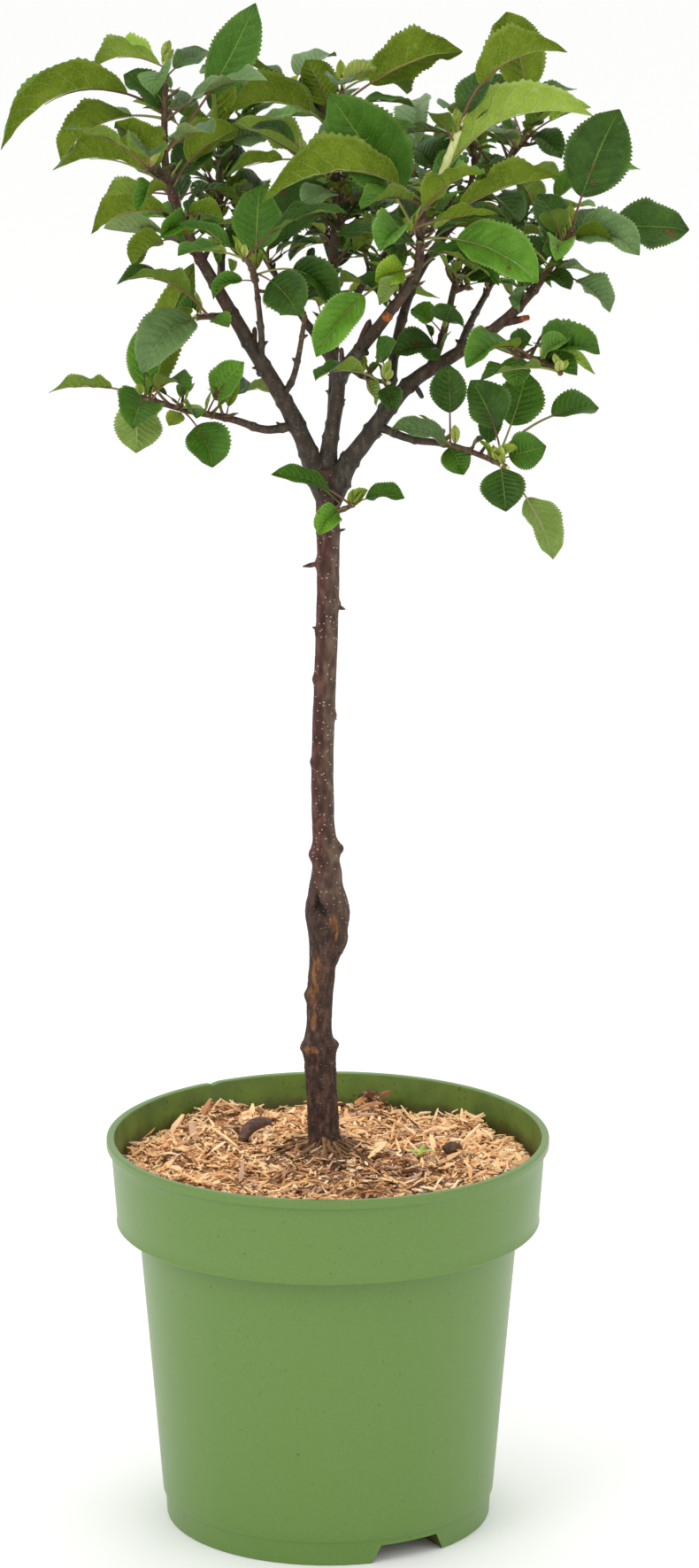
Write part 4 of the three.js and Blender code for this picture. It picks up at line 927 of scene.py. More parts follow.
# Fine brown roots and fibres run out from the trunk's foot over the bed. Each is a line of four
# points at shares of its length, at heights above the bed from which it strays.
FIBRES = {"count": 110, "centre": -1.5, "inner": 6.0, "length": (8, 38), "radius": (0.3, 0.95),
          "steps": (0, 0.33, 0.66, 1.0), "above": (5.2, 3.4, 2.4, 0.8), "swing": 0.36, "stray": 0.9,
          "seed": 81, "rings": 9, "sides": 6}
draw = np.random.default_rng(FIBRES["seed"])
fibres = []
for number in range(FIBRES["count"]):
    heading = draw.uniform(0, 2 * np.pi)
    length = draw.uniform(*FIBRES["length"])
    away = FIBRES["inner"] + length * np.array(FIBRES["steps"])
    swing = heading + np.cumsum([0, *draw.normal(0, FIBRES["swing"], 3)])
    x, y = FIBRES["centre"] + away * np.cos(swing), away * np.sin(swing)
    rise = mix_height(x, y) + FIBRES["above"] + draw.normal(0, FIBRES["stray"], 4)
    line = smooth_line(np.stack([x, y, rise], axis=-1), 4)
    share = np.linspace(0, 1, FIBRES["rings"])
    thick = draw.uniform(*FIBRES["radius"]) * (1.25 - 0.95 * share)
    body = tube(line, share, thick, FIBRES["sides"])
    fibre = capped(body, point_at(line, 0.0), point_at(line, 1.0))
    fibres.append((*fibre, (draw.uniform(0, 1), draw.uniform(0, 0.8), 0, 0)))
fibre_bark = bark_material(
    "root_fibre", [(0.3, "#2b1d16"), (0.6, "#533a2b")], [(0.3, "#4b352a"), (0.6, "#7a5943")],
    [(0.3, "#7d5b3c"), (0.6, "#b58a5e")], [(0.3, "#6b4e3a"), (0.6, "#8a6a4d")], "#a3876a",
    (0.7, 0.9), [(900, 0.0002)])
roots = bark_object("root_fibres", fibres, fibre_bark)
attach(roots, "root")


# ---- Boughs ----
# Each bough springs from the trunk or from another bough, tapers to a green shoot, and has a ring and
# a bud at each joint. Where its parent is a bough, its first point is drawn onto the parent's line.
BOUGHS = [
    # name, parent, radius at the root and tip, bare share, line
    ("left", "trunk", (5.3, 1.1), 0.5,
     [[-1, 0, 562], [-11, -2, 590], [-22, -6, 614], [-39, -12, 644], [-58, -18, 678], [-71, -22, 703],
      [-82, -27, 735], [-83, -29, 768], [-82, -30, 798]]),
    ("right", "trunk", (5.4, 1.5), 0.66,
     [[2, 0, 560], [9, -1, 578], [21, -3, 595], [42, -7, 623], [65, -11, 639], [90, -16, 657],
      [110, -19, 679], [128, -22, 709]]),
    ("leader", "trunk", (4.4, 1.0), 0.32,
     [[0, 0, 568], [1, 1, 589], [6, 3, 622], [1, 5, 642], [3, 8, 684], [5, 9, 718], [6, 11, 755],
      [9, 14, 784]]),
    ("left_low", "left", (2.4, 1.2), 0.36,
     [[-17, -4, 601], [-32, -8, 600], [-50, -16, 607], [-76, -20, 613], [-102, -24, 622]]),
    ("left_spur", "left", (1.9, 1.3), 0.45, [[-51, -15, 663], [-61, -18, 661], [-70, -22, 661]]),
    ("left_rear", "left", (2.2, 1.1), 0.3,
     [[-56, -17, 673], [-55, 0, 684], [-56, 24, 705], [-57, 52, 735], [-58, 68, 757]]),
    ("inner_left", "left", (1.9, 1.1), 0.55,
     [[-31, -9, 637], [-34, -20, 652], [-36, -31, 676], [-38, -38, 692]]),
    ("inner_low", "left", (1.8, 1.1), 0.55,
     [[-23, -7, 617], [-18, -12, 627], [-14, -24, 645], [-11, -37, 666]]),
    ("centre_right", "leader", (3.8, 1.0), 0.36,
     [[5, 3, 624], [13, -8, 637], [31, -23, 662], [46, -32, 686], [49, -38, 709], [60, -44, 741],
      [69, -48, 765]]),
    ("fork", "centre_right", (1.6, 1.1), 0.3, [[10, -5, 632], [20, -11, 628], [33, -23, 627]]),
    ("rear_centre", "leader", (2.3, 1.2), 0.36,
     [[2, 5, 646], [15, 20, 666], [28, 34, 683], [46, 46, 698], [60, 54, 728]]),
    ("rear_left", "leader", (2.2, 1.1), 0.55,
     [[3, 4, 634], [-12, 18, 654], [-31, 30, 682], [-41, 45, 699], [-46, 62, 712]]),
    ("rear", "leader", (3.0, 1.2), 0.5,
     [[2, 1, 598], [3, 20, 612], [4, 60, 648], [4, 85, 680], [6, 100, 714]]),
    ("right_top", "right", (3.0, 1.4), 0.5,
     [[28, -4, 606], [33, 6, 619], [36, 24, 639], [45, 40, 668], [61, 50, 693], [81, 62, 715],
      [110, 80, 747]]),
    ("right_inner", "right", (2.3, 1.2), 0.14,
     [[53, -9, 632], [59, 4, 643], [64, 20, 659], [69, 34, 678], [75, 43, 697]]),
    ("rear_right", "right", (2.2, 1.1), 0.5,
     [[69, -12, 642], [75, 18, 652], [87, 52, 668], [100, 84, 690]]),
    ("right_shelf", "right", (1.9, 1.2), 0.35,
     [[82, -15, 651], [88, -25, 647], [98, -38, 645], [114, -56, 643]]),
    ("right_low", "right", (2.3, 1.2), 0.45,
     [[27, -4, 603], [44, -14, 596], [61, -28, 596], [78, -42, 593], [94, -56, 588]]),
    ("trunk_sprout", "trunk", (1.6, 1.0), 0, [[0, 0, 554], [8, -5, 557], [15, -15, 562]]),
]
BUD_LENGTH = 4.5                 # the pointed bud at a shoot's tip
BARK_STEP = 1.3                  # between rings of a bough
# Main boughs have a greater radius at the root than main, and thick ones than thick. The bark turns
# green over the last part of each. The swelling at a bough's root is given as its share of the radius,
# its distance from the root and its spread.
LIMB = {"main": 4, "thick": 3, "thick_sides": 22, "sides": 16, "main_swelling": (0.2, 14, 9),
        "green": 30, "seed": 100, "grain_seed": 200}
SWELLING = (0.3, 0, 5)
# Joints come at a step with a little stray, each with a bud that leans out and up the shoot.
JOINTS = {"first": 9.0, "last": 6, "step": 17.0, "stray": 3, "ring": 0.22, "spread": 1.4,
          "bud_out": 1.7, "bud_along": 2.2, "bud_radius": 1.25}
GOLDEN_ANGLE = 137.5             # between one bud or leaf and the next, in degrees
# Stubs that pruning has left, and a wound: root, tip, radius, then how worn and how ruddy each is.
CUT_STUBS = [
    ([-38, -11, 641], [-37.5, -14, 655], 1.6, 0.1, 0), ([8, -2, 628], [7.5, -6, 643], 1.5, 0.1, 0),
    ([15, -10, 640], [22.5, -15, 659], 2.2, 0, 1), ([31, -23, 662], [32, -27.6, 662.5], 3.0, 1, 0),
    ([90, -16, 657], [103, -20, 660.5], 2.2, 0, 1), ([101, -19.5, 660], [105, -20.5, 661.2], 1.7, 1, 0),
    ([45, -8, 625], [50, -11, 617], 1.6, 0, 0), ([-39, -12, 645], [-44, -15, 647], 2.4, 0, 0),
    ([-32, -10, 632], [-36, -14, 630], 2.2, 0, 0), ([18, -13, 644], [21, -17, 641], 1.9, 0, 0)]


def nearest_share(line, place):
    """The share of a line's length whose dot is nearest to a place."""
    nearest = np.argmin(np.linalg.norm(line["dots"] - place, axis=1))
    return line["reached"][nearest] / line["length"]


boughs = {}
for name, parent, radius, bare, points in BOUGHS:
    if parent in boughs:
        source = boughs[parent]["line"]
        points = [point_at(source, nearest_share(source, np.array(points[0]))), *points[1:]]
    boughs[name] = {"radius": radius, "bare": bare, "line": smooth_line(points), "twigs": []}

bough_wood = []


def radius_at(radius, share):
    """The radius at a share of a limb's length: even from one end to the other."""
    return radius[0] + (radius[1] - radius[0]) * share


def add_limb(wood, line, radius, youth, joints, sides, seed, swelling=SWELLING):
    """A round limb from root to tip: its radius runs evenly from one end to the other, swells near its
    root and at each joint, carries a lengthwise grain, and closes in a pointed bud at the tip. youth
    gives shares of the length and how young the bark is there."""
    length = line["length"]
    share = np.linspace(0, 1, max(6, int(length / BARK_STEP)))
    reached = share * length
    extra, place, spread = swelling
    size = radius_at(radius, share) * (1 + extra * np.exp(-((reached - place) / spread) ** 2))
    for joint in joints:
        near = np.exp(-((reached - joint) / JOINTS["spread"]) ** 2)
        size = size + JOINTS["ring"] * radius[1] * near * (1 + 0.4 * size)
    bud = np.clip((reached - (length - BUD_LENGTH)) / BUD_LENGTH, 0, 1)
    size = size * (1 + 0.45 * np.sin(np.pi * np.clip(bud * 1.4, 0, 1))) * np.sqrt(1 - 0.97 * bud ** 2)
    body = tube(line, share, size, sides)
    out = (body - point_at(line, share)[:, None]) / size[:, None, None]
    turn = np.arange(sides) * 2 * np.pi / sides
    grain = np.stack([size[:, None] * np.cos(turn), size[:, None] * np.sin(turn),
                      0.3 * reached[:, None] + 0 * turn], axis=-1)
    rind = 0.045 * size[:, None] * ripple(grain, 3.2, seed) + 0.04 * ripple(body, 1.3, seed + 1)
    body = body + out * rind[..., None]
    tip = point_at(line, 1.0) + 0.3 * direction_at(line, 1.0)
    points, faces = capped(body, point_at(line, 0.0), tip)
    age = np.repeat(np.interp(share, *youth), sides)
    age = np.append(age, [age[0], age[-1]])
    ruddy_and_shade = np.clip(0.5 + 0.8 * ripple(points, 22, seed + 2), 0, 1) * np.sin(np.pi * np.clip(age, 0, 1))
    wood.append((points, faces, np.stack([age, 0 * age, ruddy_and_shade, 0 * age], axis=-1)))


for number, bough in enumerate(boughs.values()):
    line, radius, bare = bough["line"], bough["radius"], bough["bare"]
    length = line["length"]
    draw = np.random.default_rng(LIMB["seed"] + number)
    joints = np.arange(JOINTS["first"], length - JOINTS["last"], JOINTS["step"])
    joints = joints + draw.uniform(-JOINTS["stray"], JOINTS["stray"], len(joints))
    green = max(bare + 0.02, 1 - LIMB["green"] / length)
    youth = ([0, bare, green, 1.0], [0.0, 0.18, 0.55, 1.0])
    add_limb(bough_wood, line, radius, youth, joints,
             LIMB["thick_sides"] if radius[0] > LIMB["thick"] else LIMB["sides"],
             LIMB["grain_seed"] + 2 * number,
             LIMB["main_swelling"] if radius[0] > LIMB["main"] else SWELLING)
    for k, joint in enumerate(joints):
        share = joint / length
        place, along, size = point_at(line, share), direction_at(line, share), radius_at(radius, share)
        heading = math.radians(GOLDEN_ANGLE * k + 60 * number)
        out = np.array([math.cos(heading), math.sin(heading), 0.25])
        out -= (out @ along) * along
        out /= np.linalg.norm(out)
        tip = place + out * (size + JOINTS["bud_out"]) + along * JOINTS["bud_along"]
        add_stub(bough_wood, place + out * size * 0.5, tip, JOINTS["bud_radius"],
                 (0.3 + 0.5 * share, 0, 0.5, 0), sides=8, rings=5)
for root, tip, size, worn_share, ruddy_share in CUT_STUBS:
    add_stub(bough_wood, np.array(root, float), np.array(tip, float), size,
             (0, worn_share, ruddy_share, 0), sides=12, rings=16, taper=0.18, blunt=14)


# ---- Foliage: how it grows ----
# An apple crown is sprays of leaves on short shoots. Each spray here is a place on or near a bough, how
# many leaves the growth rule adds there, and its outer leaves as heading, rise, reach, width, petiole
# in hundredths, lift, turn and tone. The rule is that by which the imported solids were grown.
SPRAYS = {
    "left": [
        (-82, -30, 789, 2, (158, -2, 41, 26, 8, 6, 10, "l"), (318, -56, 32, 15, 15, -2, -105, "p")),
        (-83, -28, 767, 1, (200, -10, 89, 34, 20, 21, 5, "o"), (166, 44, 30, 24, 10, 3, -30, "d"),
         (160, -22, 63, 28, 25, 10, 20, "o")),
        (-81, -28, 749, 1, (10, 58, 89, 24, 42, -4, 70, "m")),
        (-83, -27, 732, 1, (204, 50, 45, 26, 25, 2, 40, "o"), (48, 34, 39, 22, 20, 3, 30, "d"),
         (4, 42, 47, 26, 35, 5, -60, "o")),
        (-83, -26, 724, 1, (200, 14, 66, 30, 25, 10, 20, "o"), (152, -10, 40, 22, 30, 3, 40, "l"),
         (128, 28, 40, 13, 40, 2, -20, "d")),
        (-76, -24, 716, 2, (190, -10, 47, 25, 15, 7, 30, "o"), (340, 0, 24, 20, 20, 3, -30, "o")),
        (-72, -22, 704, 1, (154, 2, 50, 22, 30, 2, 40, "g"), (168, -26, 34, 22, 40, 6, 55, "o"),
         (220, 12, 28, 20, 20, 6, -45, "o")),
        (-92, -60, 742, 3),
    ],
    "right": [
        (128, -22, 708, 1, (14, 68, 68, 34, 28, 2, 70, "d"), (6, 2, 63, 27, 34, 3, 60, "d"),
         (326, -6, 44, 26, 10, 6, 40, "g"), (44, 12, 36, 20, 12, 3, 25, "d"),
         (134, 52, 31, 20, 10, 2, -35, "d")),
        (124, -21, 699, 1, (308, 4, 35, 15, 20, 3, -30, "o")),
        (114, -20, 684, 1, (134, 14, 26, 22, 15, 3, -35, "d"), (336, -28, 40, 22, 40, 5, 15, "g"),
         (302, -12, 24, 14, 10, 2, 25, "d")),
        (100, -18, 669, 1, (254, 16, 24, 15, 10, 2, -100, "m")),
        (120, -52, 698, 2),
    ],
    "leader": [
        (8, 13, 778, 2, (336, 28, 22, 14, 10, 2, -45, "y")),
        (8, 13, 767, 2, (352, 26, 71, 31, 27, 5, -60, "o")),
        (7, 11, 752, 2, (198, 14, 62, 28, 30, 11, 30, "o"), (166, 68, 45, 23, 42, 2, 90, "o"),
         (158, 38, 53, 20, 35, 4, 45, "p"), (118, 24, 42, 22, 25, 3, 65, "d")),
        (5, 10, 728, 2, (204, -40, 51, 30, 10, 3, -40, "d"), (166, 30, 64, 24, 30, 3, 55, "l")),
        (4, 9, 707, 3, (50, 18, 33, 20, 20, 4, 25, "d")),
        (15, 24, 710, 3, (54, 26, 30, 18, 25, 2, 25, "m")),
        (3, 8, 675, 3),
        (-14, -22, 742, 3),
        (-26, 34, 770, 4),
    ],
    "left_low": [
        (-101, -24, 622, 1, (190, 4, 47, 24, 30, 4, 20, "m"), (258, -66, 30, 29, 5, 3, 165, "p"),
         (96, 78, 38, 18, 10, 2, -5, "b")),
        (-92, -23, 621, 1, (54, 60, 76, 27, 4, 4, -140, "o")),
        (-76, -20, 613, 1, (320, -52, 36, 26, 35, 4, 40, "m"), (242, -20, 17, 10, 20, 0, -25, "y")),
        (-62, -18, 612, 1, (328, 52, 37, 18, 25, 2, 80, "b")),
    ],
    "left_spur": [
        (-68, -22, 660, 1, (232, -26, 52, 28, 10, 7, -30, "g"), (74, 86, 29, 12, 30, 2, -20, "d"),
         (166, 12, 17, 14, 20, 3, -20, "m"), (308, -10, 18, 12, 25, 1, 25, "b")),
    ],
    "left_rear": [
        (-56, 22, 705, 3, (110, 14, 33, 20, 25, 6, -10, "d"), (314, -50, 22, 18, 20, 3, 25, "m")),
        (-57, 40, 724, 3, (46, 20, 27, 22, 20, 5, 25, "d")),
        (-58, 52, 739, 4, (10, 14, 28, 20, 25, 4, 50, "g"), (134, 80, 49, 22, 30, 3, 100, "o"),
         (144, 18, 25, 18, 30, 3, -35, "d")),
        (-76, 70, 742, 4),
        (-40, 64, 748, 4),
    ],
    "inner_left": [
        (-38, -36, 685, 1, (322, -34, 35, 26, 30, 4, 50, "d"), (2, -20, 43, 24, 40, 10, 60, "d"),
         (60, 84, 48, 26, 30, 1, 25, "m"), (142, -24, 25, 14, 25, 4, -45, "o")),
        (-42, -68, 698, 3),
    ],
    "inner_low": [
        (-11, -36, 663, 1, (228, 14, 19, 14, 20, 3, -45, "d"), (262, 72, 38, 16, 30, 2, 5, "o")),
    ],
    "centre_right": [
        (66, -47, 759, 1, (346, 38, 72, 30, 34, 14, -40, "o"), (28, 58, 39, 18, 30, 3, 30, "d"),
         (46, 36, 38, 16, 30, 3, 25, "d")),
        (60, -43, 729, 1, (348, 26, 89, 40, 16, 18, -35, "l"), (34, 40, 28, 18, 20, 3, 30, "m")),
        (52, -40, 719, 1, (202, 4, 92, 36, 20, 18, 30, "o")),
        (52, -37, 706, 1, (12, 22, 79, 26, 30, 6, -40, "o"), (336, -16, 68, 28, 28, 8, 55, "b"),
         (194, 58, 91, 39, 28, 2, -90, "m")),
        (49, -36, 701, 1, (166, 8, 45, 20, 6, 3, -20, "d"), (348, -22, 45, 20, 15, 5, 30, "o")),
        (46, -33, 690, 1, (206, -36, 72, 22, 45, 8, -55, "b"), (210, -10, 25, 20, 30, 2, -65, "l"),
         (224, -22, 34, 14, 40, 3, 90, "p")),
        (42, -74, 712, 3),
    ],
    "fork": [
        (31, -22, 628, 1, (256, 68, 27, 16, 40, 2, -115, "m"), (296, -44, 19, 14, 25, 2, 20, "d")),
        (18, -9, 629, 1, (294, -40, 20, 14, 10, 1, -90, "p")),
    ],
    "rear_centre": [
        (60, 54, 726, 4, (12, 52, 33, 18, 20, 3, 45, "d"), (128, 36, 25, 22, 25, 4, -25, "d")),
        (47, 46, 699, 3, (124, 14, 25, 18, 20, 3, -25, "d")),
        (31, 38, 687, 3, (192, -52, 31, 22, 25, 5, -55, "d")),
        (44, 82, 722, 4),
        (70, 66, 700, 3),
    ],
    "rear_left": [
        (-44, 55, 706, 5, (60, 32, 24, 20, 20, 4, 15, "d"), (112, 16, 27, 20, 20, 4, -20, "d")),
        (-38, 36, 692, 4, (62, 4, 29, 18, 20, 3, 30, "d")),
        (-62, 72, 716, 4),
        (-28, 74, 700, 4),
    ],
    "rear": [
        (4, 70, 662, 5),
        (5, 88, 688, 5),
        (6, 99, 711, 6),
        (-22, 92, 694, 4),
        (30, 96, 696, 4),
    ],
    "right_top": [
        (110, 80, 746, 3, (204, 78, 67, 36, 34, 3, 60, "o"), (314, -20, 27, 18, 15, 4, 30, "d"),
         (36, 48, 36, 16, 55, 2, 40, "d"), (132, 54, 42, 15, 60, 2, -30, "d"),
         (10, 26, 42, 18, 45, 4, 20, "l")),
        (98, 74, 731, 3, (106, 18, 33, 18, 25, 4, -10, "d")),
        (78, 60, 709, 4, (38, 26, 36, 20, 20, 4, 25, "d")),
        (92, 92, 716, 4),
        (72, 24, 752, 3),
    ],
    "right_inner": [
        (57, 0, 640, 0, (204, -2, 25, 20, 10, 3, -40, "d"), (294, -2, 30, 18, 15, 3, 40, "d")),
        (61, 12, 648, 0, (284, 42, 25, 20, 30, 2, 150, "m"), (160, 36, 22, 16, 40, 2, -35, "b")),
        (77, 32, 668, 1, (24, 36, 19, 16, 20, 2, 35, "m")),
        (75, 42, 694, 3, (128, 22, 24, 18, 20, 3, -20, "d")),
    ],
    "rear_right": [
        (92, 62, 676, 5),
        (99, 82, 689, 6),
        (118, 70, 700, 4),
    ],
    "right_shelf": [
        (112, -54, 643, 1, (352, 44, 22, 22, 25, 3, 40, "m"), (334, 10, 32, 24, 10, 5, 35, "m"),
         (294, 24, 36, 14, 10, 2, 75, "p"), (18, -16, 34, 15, 10, 3, 25, "l"),
         (306, -12, 28, 16, 10, 2, 40, "m")),
        (98, -38, 645, 0, (266, -64, 18, 16, 10, 1, -5, "m"), (308, 38, 16, 14, 20, 1, 75, "d")),
        (120, -76, 640, 1),
    ],
    "right_low": [
        (65, -30, 596, 0, (200, 18, 36, 20, 10, 3, -30, "g"), (100, 82, 42, 19, 40, 1, -5, "d"),
         (310, -48, 19, 17, 10, 1, 35, "m")),
        (85, -48, 590, 0, (22, 22, 64, 20, 60, 8, 30, "m")),
        (92, -54, 589, 1, (152, 68, 47, 24, 42, 3, -50, "d"), (278, -50, 28, 23, 10, 1, 10, "d"),
         (8, -60, 59, 22, 40, 4, -60, "p"), (50, 60, 51, 25, 42, -2, 35, "m"),
         (340, 18, 30, 20, 30, 0, 80, "m"), (318, 24, 20, 9, 10, 1, 50, "y")),
    ],
    "trunk_sprout": [
        (13, -13, 561, 0, (198, 24, 48, 17, 30, 4, -30, "m"), (348, 12, 30, 17, 30, 3, 25, "m"),
         (226, -28, 25, 16, 30, 4, -50, "b"), (338, 42, 15, 9, 10, 1, 60, "y"),
         (40, 74, 11, 8, 10, 1, 25, "y")),
    ],
}
LEAF_NAMES = ("heading", "rise", "reach", "width", "petiole", "lift", "turn")
DEPTH_BIAS = 1.8                 # added leaves turn more to the front and the back than to the sides
# The least and the span of what an added leaf draws, and the number of each draw.
RULE_LEAF = {"rise": (-8, 48, 2), "reach": (34, 34, 3), "slimness": (0.42, 0.16, 4),
             "petiole": (20, 12, 5), "arch": (0.05, 0.12, 6), "turn": (-25, 50, 7)}
LEAF = {"fold": 10, "arch_fold": 150, "cell": 7, "petiole_cell": 8}
# A twig bears each spray that stands further than reach from its bough. Leaves are pitch apart.
TWIG = {"root": 1.6, "tip": 1.15, "reach": 5, "slide": 0.35, "knee": 0.15, "lowest": 0.25, "pitch": 1.7}
# How far a leaf keeps from other masses, from leaves of its own mass, and from wood.
PLACED = {"other_mass": 5.5, "same_mass": 1.5, "wood": 3.5, "own_wood": 0.5}
ADDED = {"other_mass": 8, "same_mass": 6, "wood": 4, "own_wood": 2}
BARE_CLEAR = 2                   # and further from bare wood
PAST_BARE = {"twig": 2, "leaf": 3}       # how far beyond the bare wood a twig or a leaf is rooted
WOOD_STEP = 4                    # between the places that stand for a bough
ASIDE = (0, 8, -8, 16, -16, 24, -24)     # turns that an outer leaf tries, in degrees
TRIES = 6                        # and how often an added leaf tries, each time turned on
TRY_TURN = 50
SEED = {"spray": 12.9898, "leaf": 78.233, "use": 37.719, "scale": 43758.5453}
ADDED_TONES = "dddmmmbogo"


def chance(spray, leaf, use):
    """A repeatable number from 0 to 1: the part after the point of scale times the sine of a sum."""
    value = math.sin(spray * SEED["spray"] + leaf * SEED["leaf"] + use * SEED["use"]) * SEED["scale"]
    return value - math.floor(value)


def leaf_axes(leaf):
    """The leaf's own directions: along its chord, to its side, and up from the chord."""
    heading, rise = math.radians(leaf["heading"]), math.radians(leaf["rise"])
    level = math.cos(rise)
    along = np.array([level * math.cos(heading), level * math.sin(heading), math.sin(rise)])
    side = np.array([math.sin(heading), -math.cos(heading), 0.0])
    return along, side, np.cross(side, along)


def leaf_frame(leaf, u):
    """Centre, across and face directions at shares u from root to tip. The centre is
    root + reach u along + 4 lift u (1 - u) up; across and face are rolled by turn about it."""
    along, side, up = leaf_axes(leaf)
    u = np.asarray(u, float)[..., None]
    centre = leaf["root"] + along * leaf["reach"] * u + up * 4 * leaf["lift"] * u * (1 - u)
    tangent = along * leaf["reach"] + up * 4 * leaf["lift"] * (1 - 2 * u)
    tangent /= np.linalg.norm(tangent, axis=-1, keepdims=True)
    normal = np.cross(side, tangent)
    c, s = math.cos(math.radians(leaf["turn"])), math.sin(math.radians(leaf["turn"]))
    return centre, side * c - normal * s, normal * c + side * s


def blade_half(width, v):
    """Half the blade's width at a share v of its length: width/2 sin(pi v^0.8)^0.7."""
    return 0.5 * width * np.sin(np.pi * np.clip(v, 0, 1) ** 0.8) ** 0.7


def fold_of(leaf):
    """How far each half of a blade is folded up, in radians: more on a leaf that arches more."""
    return math.radians(LEAF["fold"] + LEAF["arch_fold"] * max(0, leaf["lift"]) / leaf["reach"])


def leaf_dots(leaf):
    """Places spread over a leaf that stand for it where spacing is tested, and which are blade."""
    stalk = leaf["petiole"] * leaf["reach"]
    steps = np.arange(LEAF["petiole_cell"], stalk, LEAF["petiole_cell"])
    stalk_dots, _, _ = leaf_frame(leaf, steps / leaf["reach"])
    rows = max(2, math.ceil((leaf["reach"] - stalk) / LEAF["cell"]))
    places = [stalk_dots.reshape(-1, 3)]
    for row in range(1, rows + 1):
        v = (row - 0.5) / rows
        centre, across, face = leaf_frame(leaf, leaf["petiole"] + (1 - leaf["petiole"]) * v)
        half = float(blade_half(leaf["width"], v))
        columns = max(1, math.ceil(half / LEAF["cell"]))
        out = np.arange(-columns, columns + 1)[:, None] / columns
        places.append(centre + across * half * math.cos(fold_of(leaf)) * out
                      + face * half * math.sin(fold_of(leaf)) * np.abs(out))
    places = np.concatenate(places)
    return places, np.arange(len(places)) >= len(stalk_dots)


# Wood that leaves keep clear of, as a row for each place: the place, its radius, the bough's number
# and whether it is bare.
wood_rows = []
for owner, bough in enumerate(boughs.values()):
    line, count = bough["line"], math.ceil(bough["line"]["length"] / WOOD_STEP)
    for share in np.arange(count + 1) / count:
        size = radius_at(bough["radius"], share)
        wood_rows.append([*point_at(line, share), size, owner, share < bough["bare"]])


def grow_twig(bough, place, share):
    """A short twig from a bough out to a spray that stands off it, with a knee along the bough."""
    line = bough["line"]
    distance = np.linalg.norm(point_at(line, share) - place)
    slid = share - TWIG["slide"] * distance / line["length"]
    root_share = max(bough["bare"] + PAST_BARE["twig"] / line["length"], slid)
    root = point_at(line, root_share)
    knee = (root + place) / 2 + direction_at(line, root_share) * TWIG["knee"] * distance
    return {"line": smooth_line([root, knee, place]), "radius": (TWIG["root"], TWIG["tip"])}


# The dots of the leaves so far: place, bough's number, and whether they are on a blade.
accepted = {"places": np.zeros((0, 3)), "owner": np.zeros(0, int), "blade": np.zeros(0, bool)}
leaves = []


def keep_leaf(leaf, owner, places, blade):
    """Keeps a leaf, and its dots for the tests of later leaves."""
    leaves.append(leaf)
    for key, more in (("places", places), ("owner", np.full(len(places), owner)), ("blade", blade)):
        accepted[key] = np.concatenate([accepted[key], more])


def distances(places, others):
    """The distance of each place from each of the others."""
    return np.linalg.norm(places[:, None] - others[None], axis=-1)


def try_leaf(owner, leaf, clear):
    """Keeps the leaf if its dots stand clear of every leaf and limb so far."""
    places, blade = leaf_dots(leaf)
    gaps = distances(places, accepted["places"])
    same = accepted["owner"] == owner
    if (gaps[:, ~same] < clear["other_mass"]).any():
        return False
    if (gaps[blade][:, same & accepted["blade"]] < clear["same_mass"]).any():
        return False
    own = wood["owners"] == owner
    limits = wood["radii"] + np.where(own, clear["own_wood"], clear["wood"])
    limits = limits + np.where(own & wood["bare"], BARE_CLEAR, 0)
    counted = blade[:, None] | ~own | wood["bare"]
    if ((distances(places, wood["places"]) < limits) & counted).any():
        return False
    keep_leaf(leaf, owner, places, blade)
    return True


grown_sprays = []
for owner, (name, bough) in enumerate(boughs.items()):
    for x, y, z, more, *outer in SPRAYS[name]:
        place = np.array([x, y, z], float)
        line = bough["line"]
        share = nearest_share(line, place)
        top_share = min(share, 1 - BUD_LENGTH / line["length"])
        lowest = bough["bare"] + PAST_BARE["leaf"] / line["length"]
        on_twig = np.linalg.norm(point_at(line, share) - place) > TWIG["reach"]
        if on_twig:
            twig = grow_twig(bough, place, share)
            bough["twigs"].append(twig)
            line = twig["line"]
            top_share, lowest = 1 - BUD_LENGTH / line["length"], TWIG["lowest"]
            wood_rows.append([*point_at(line, 0.5), TWIG["root"], owner, False])
            wood_rows.append([*point_at(line, 1.0), TWIG["tip"], owner, False])
        grown_sprays.append({
            "number": len(grown_sprays) + 1, "owner": owner, "more": more, "outer": outer,
            "line": line, "top": top_share, "lowest": lowest, "on_twig": on_twig})
wood_rows = np.array(wood_rows, float)
wood = {"places": wood_rows[:, :3], "radii": wood_rows[:, 3], "owners": wood_rows[:, 4],
        "bare": wood_rows[:, 5] > 0}


def leaf_root(spray, k):
    """Where the leaf of that number is rooted: one below the other down the twig or the bough."""
    share = spray["top"] - k * TWIG["pitch"] / spray["line"]["length"]
    return point_at(spray["line"], max(spray["lowest"], share))


for spray in grown_sprays:
    for k, row in enumerate(spray["outer"]):
        leaf = dict(zip(LEAF_NAMES, row)) | {"root": leaf_root(spray, k), "tone": row[-1]}
        leaf["petiole"] /= 100
        for aside in ASIDE:
            if try_leaf(spray["owner"], leaf | {"heading": leaf["heading"] + aside}, PLACED):
                break

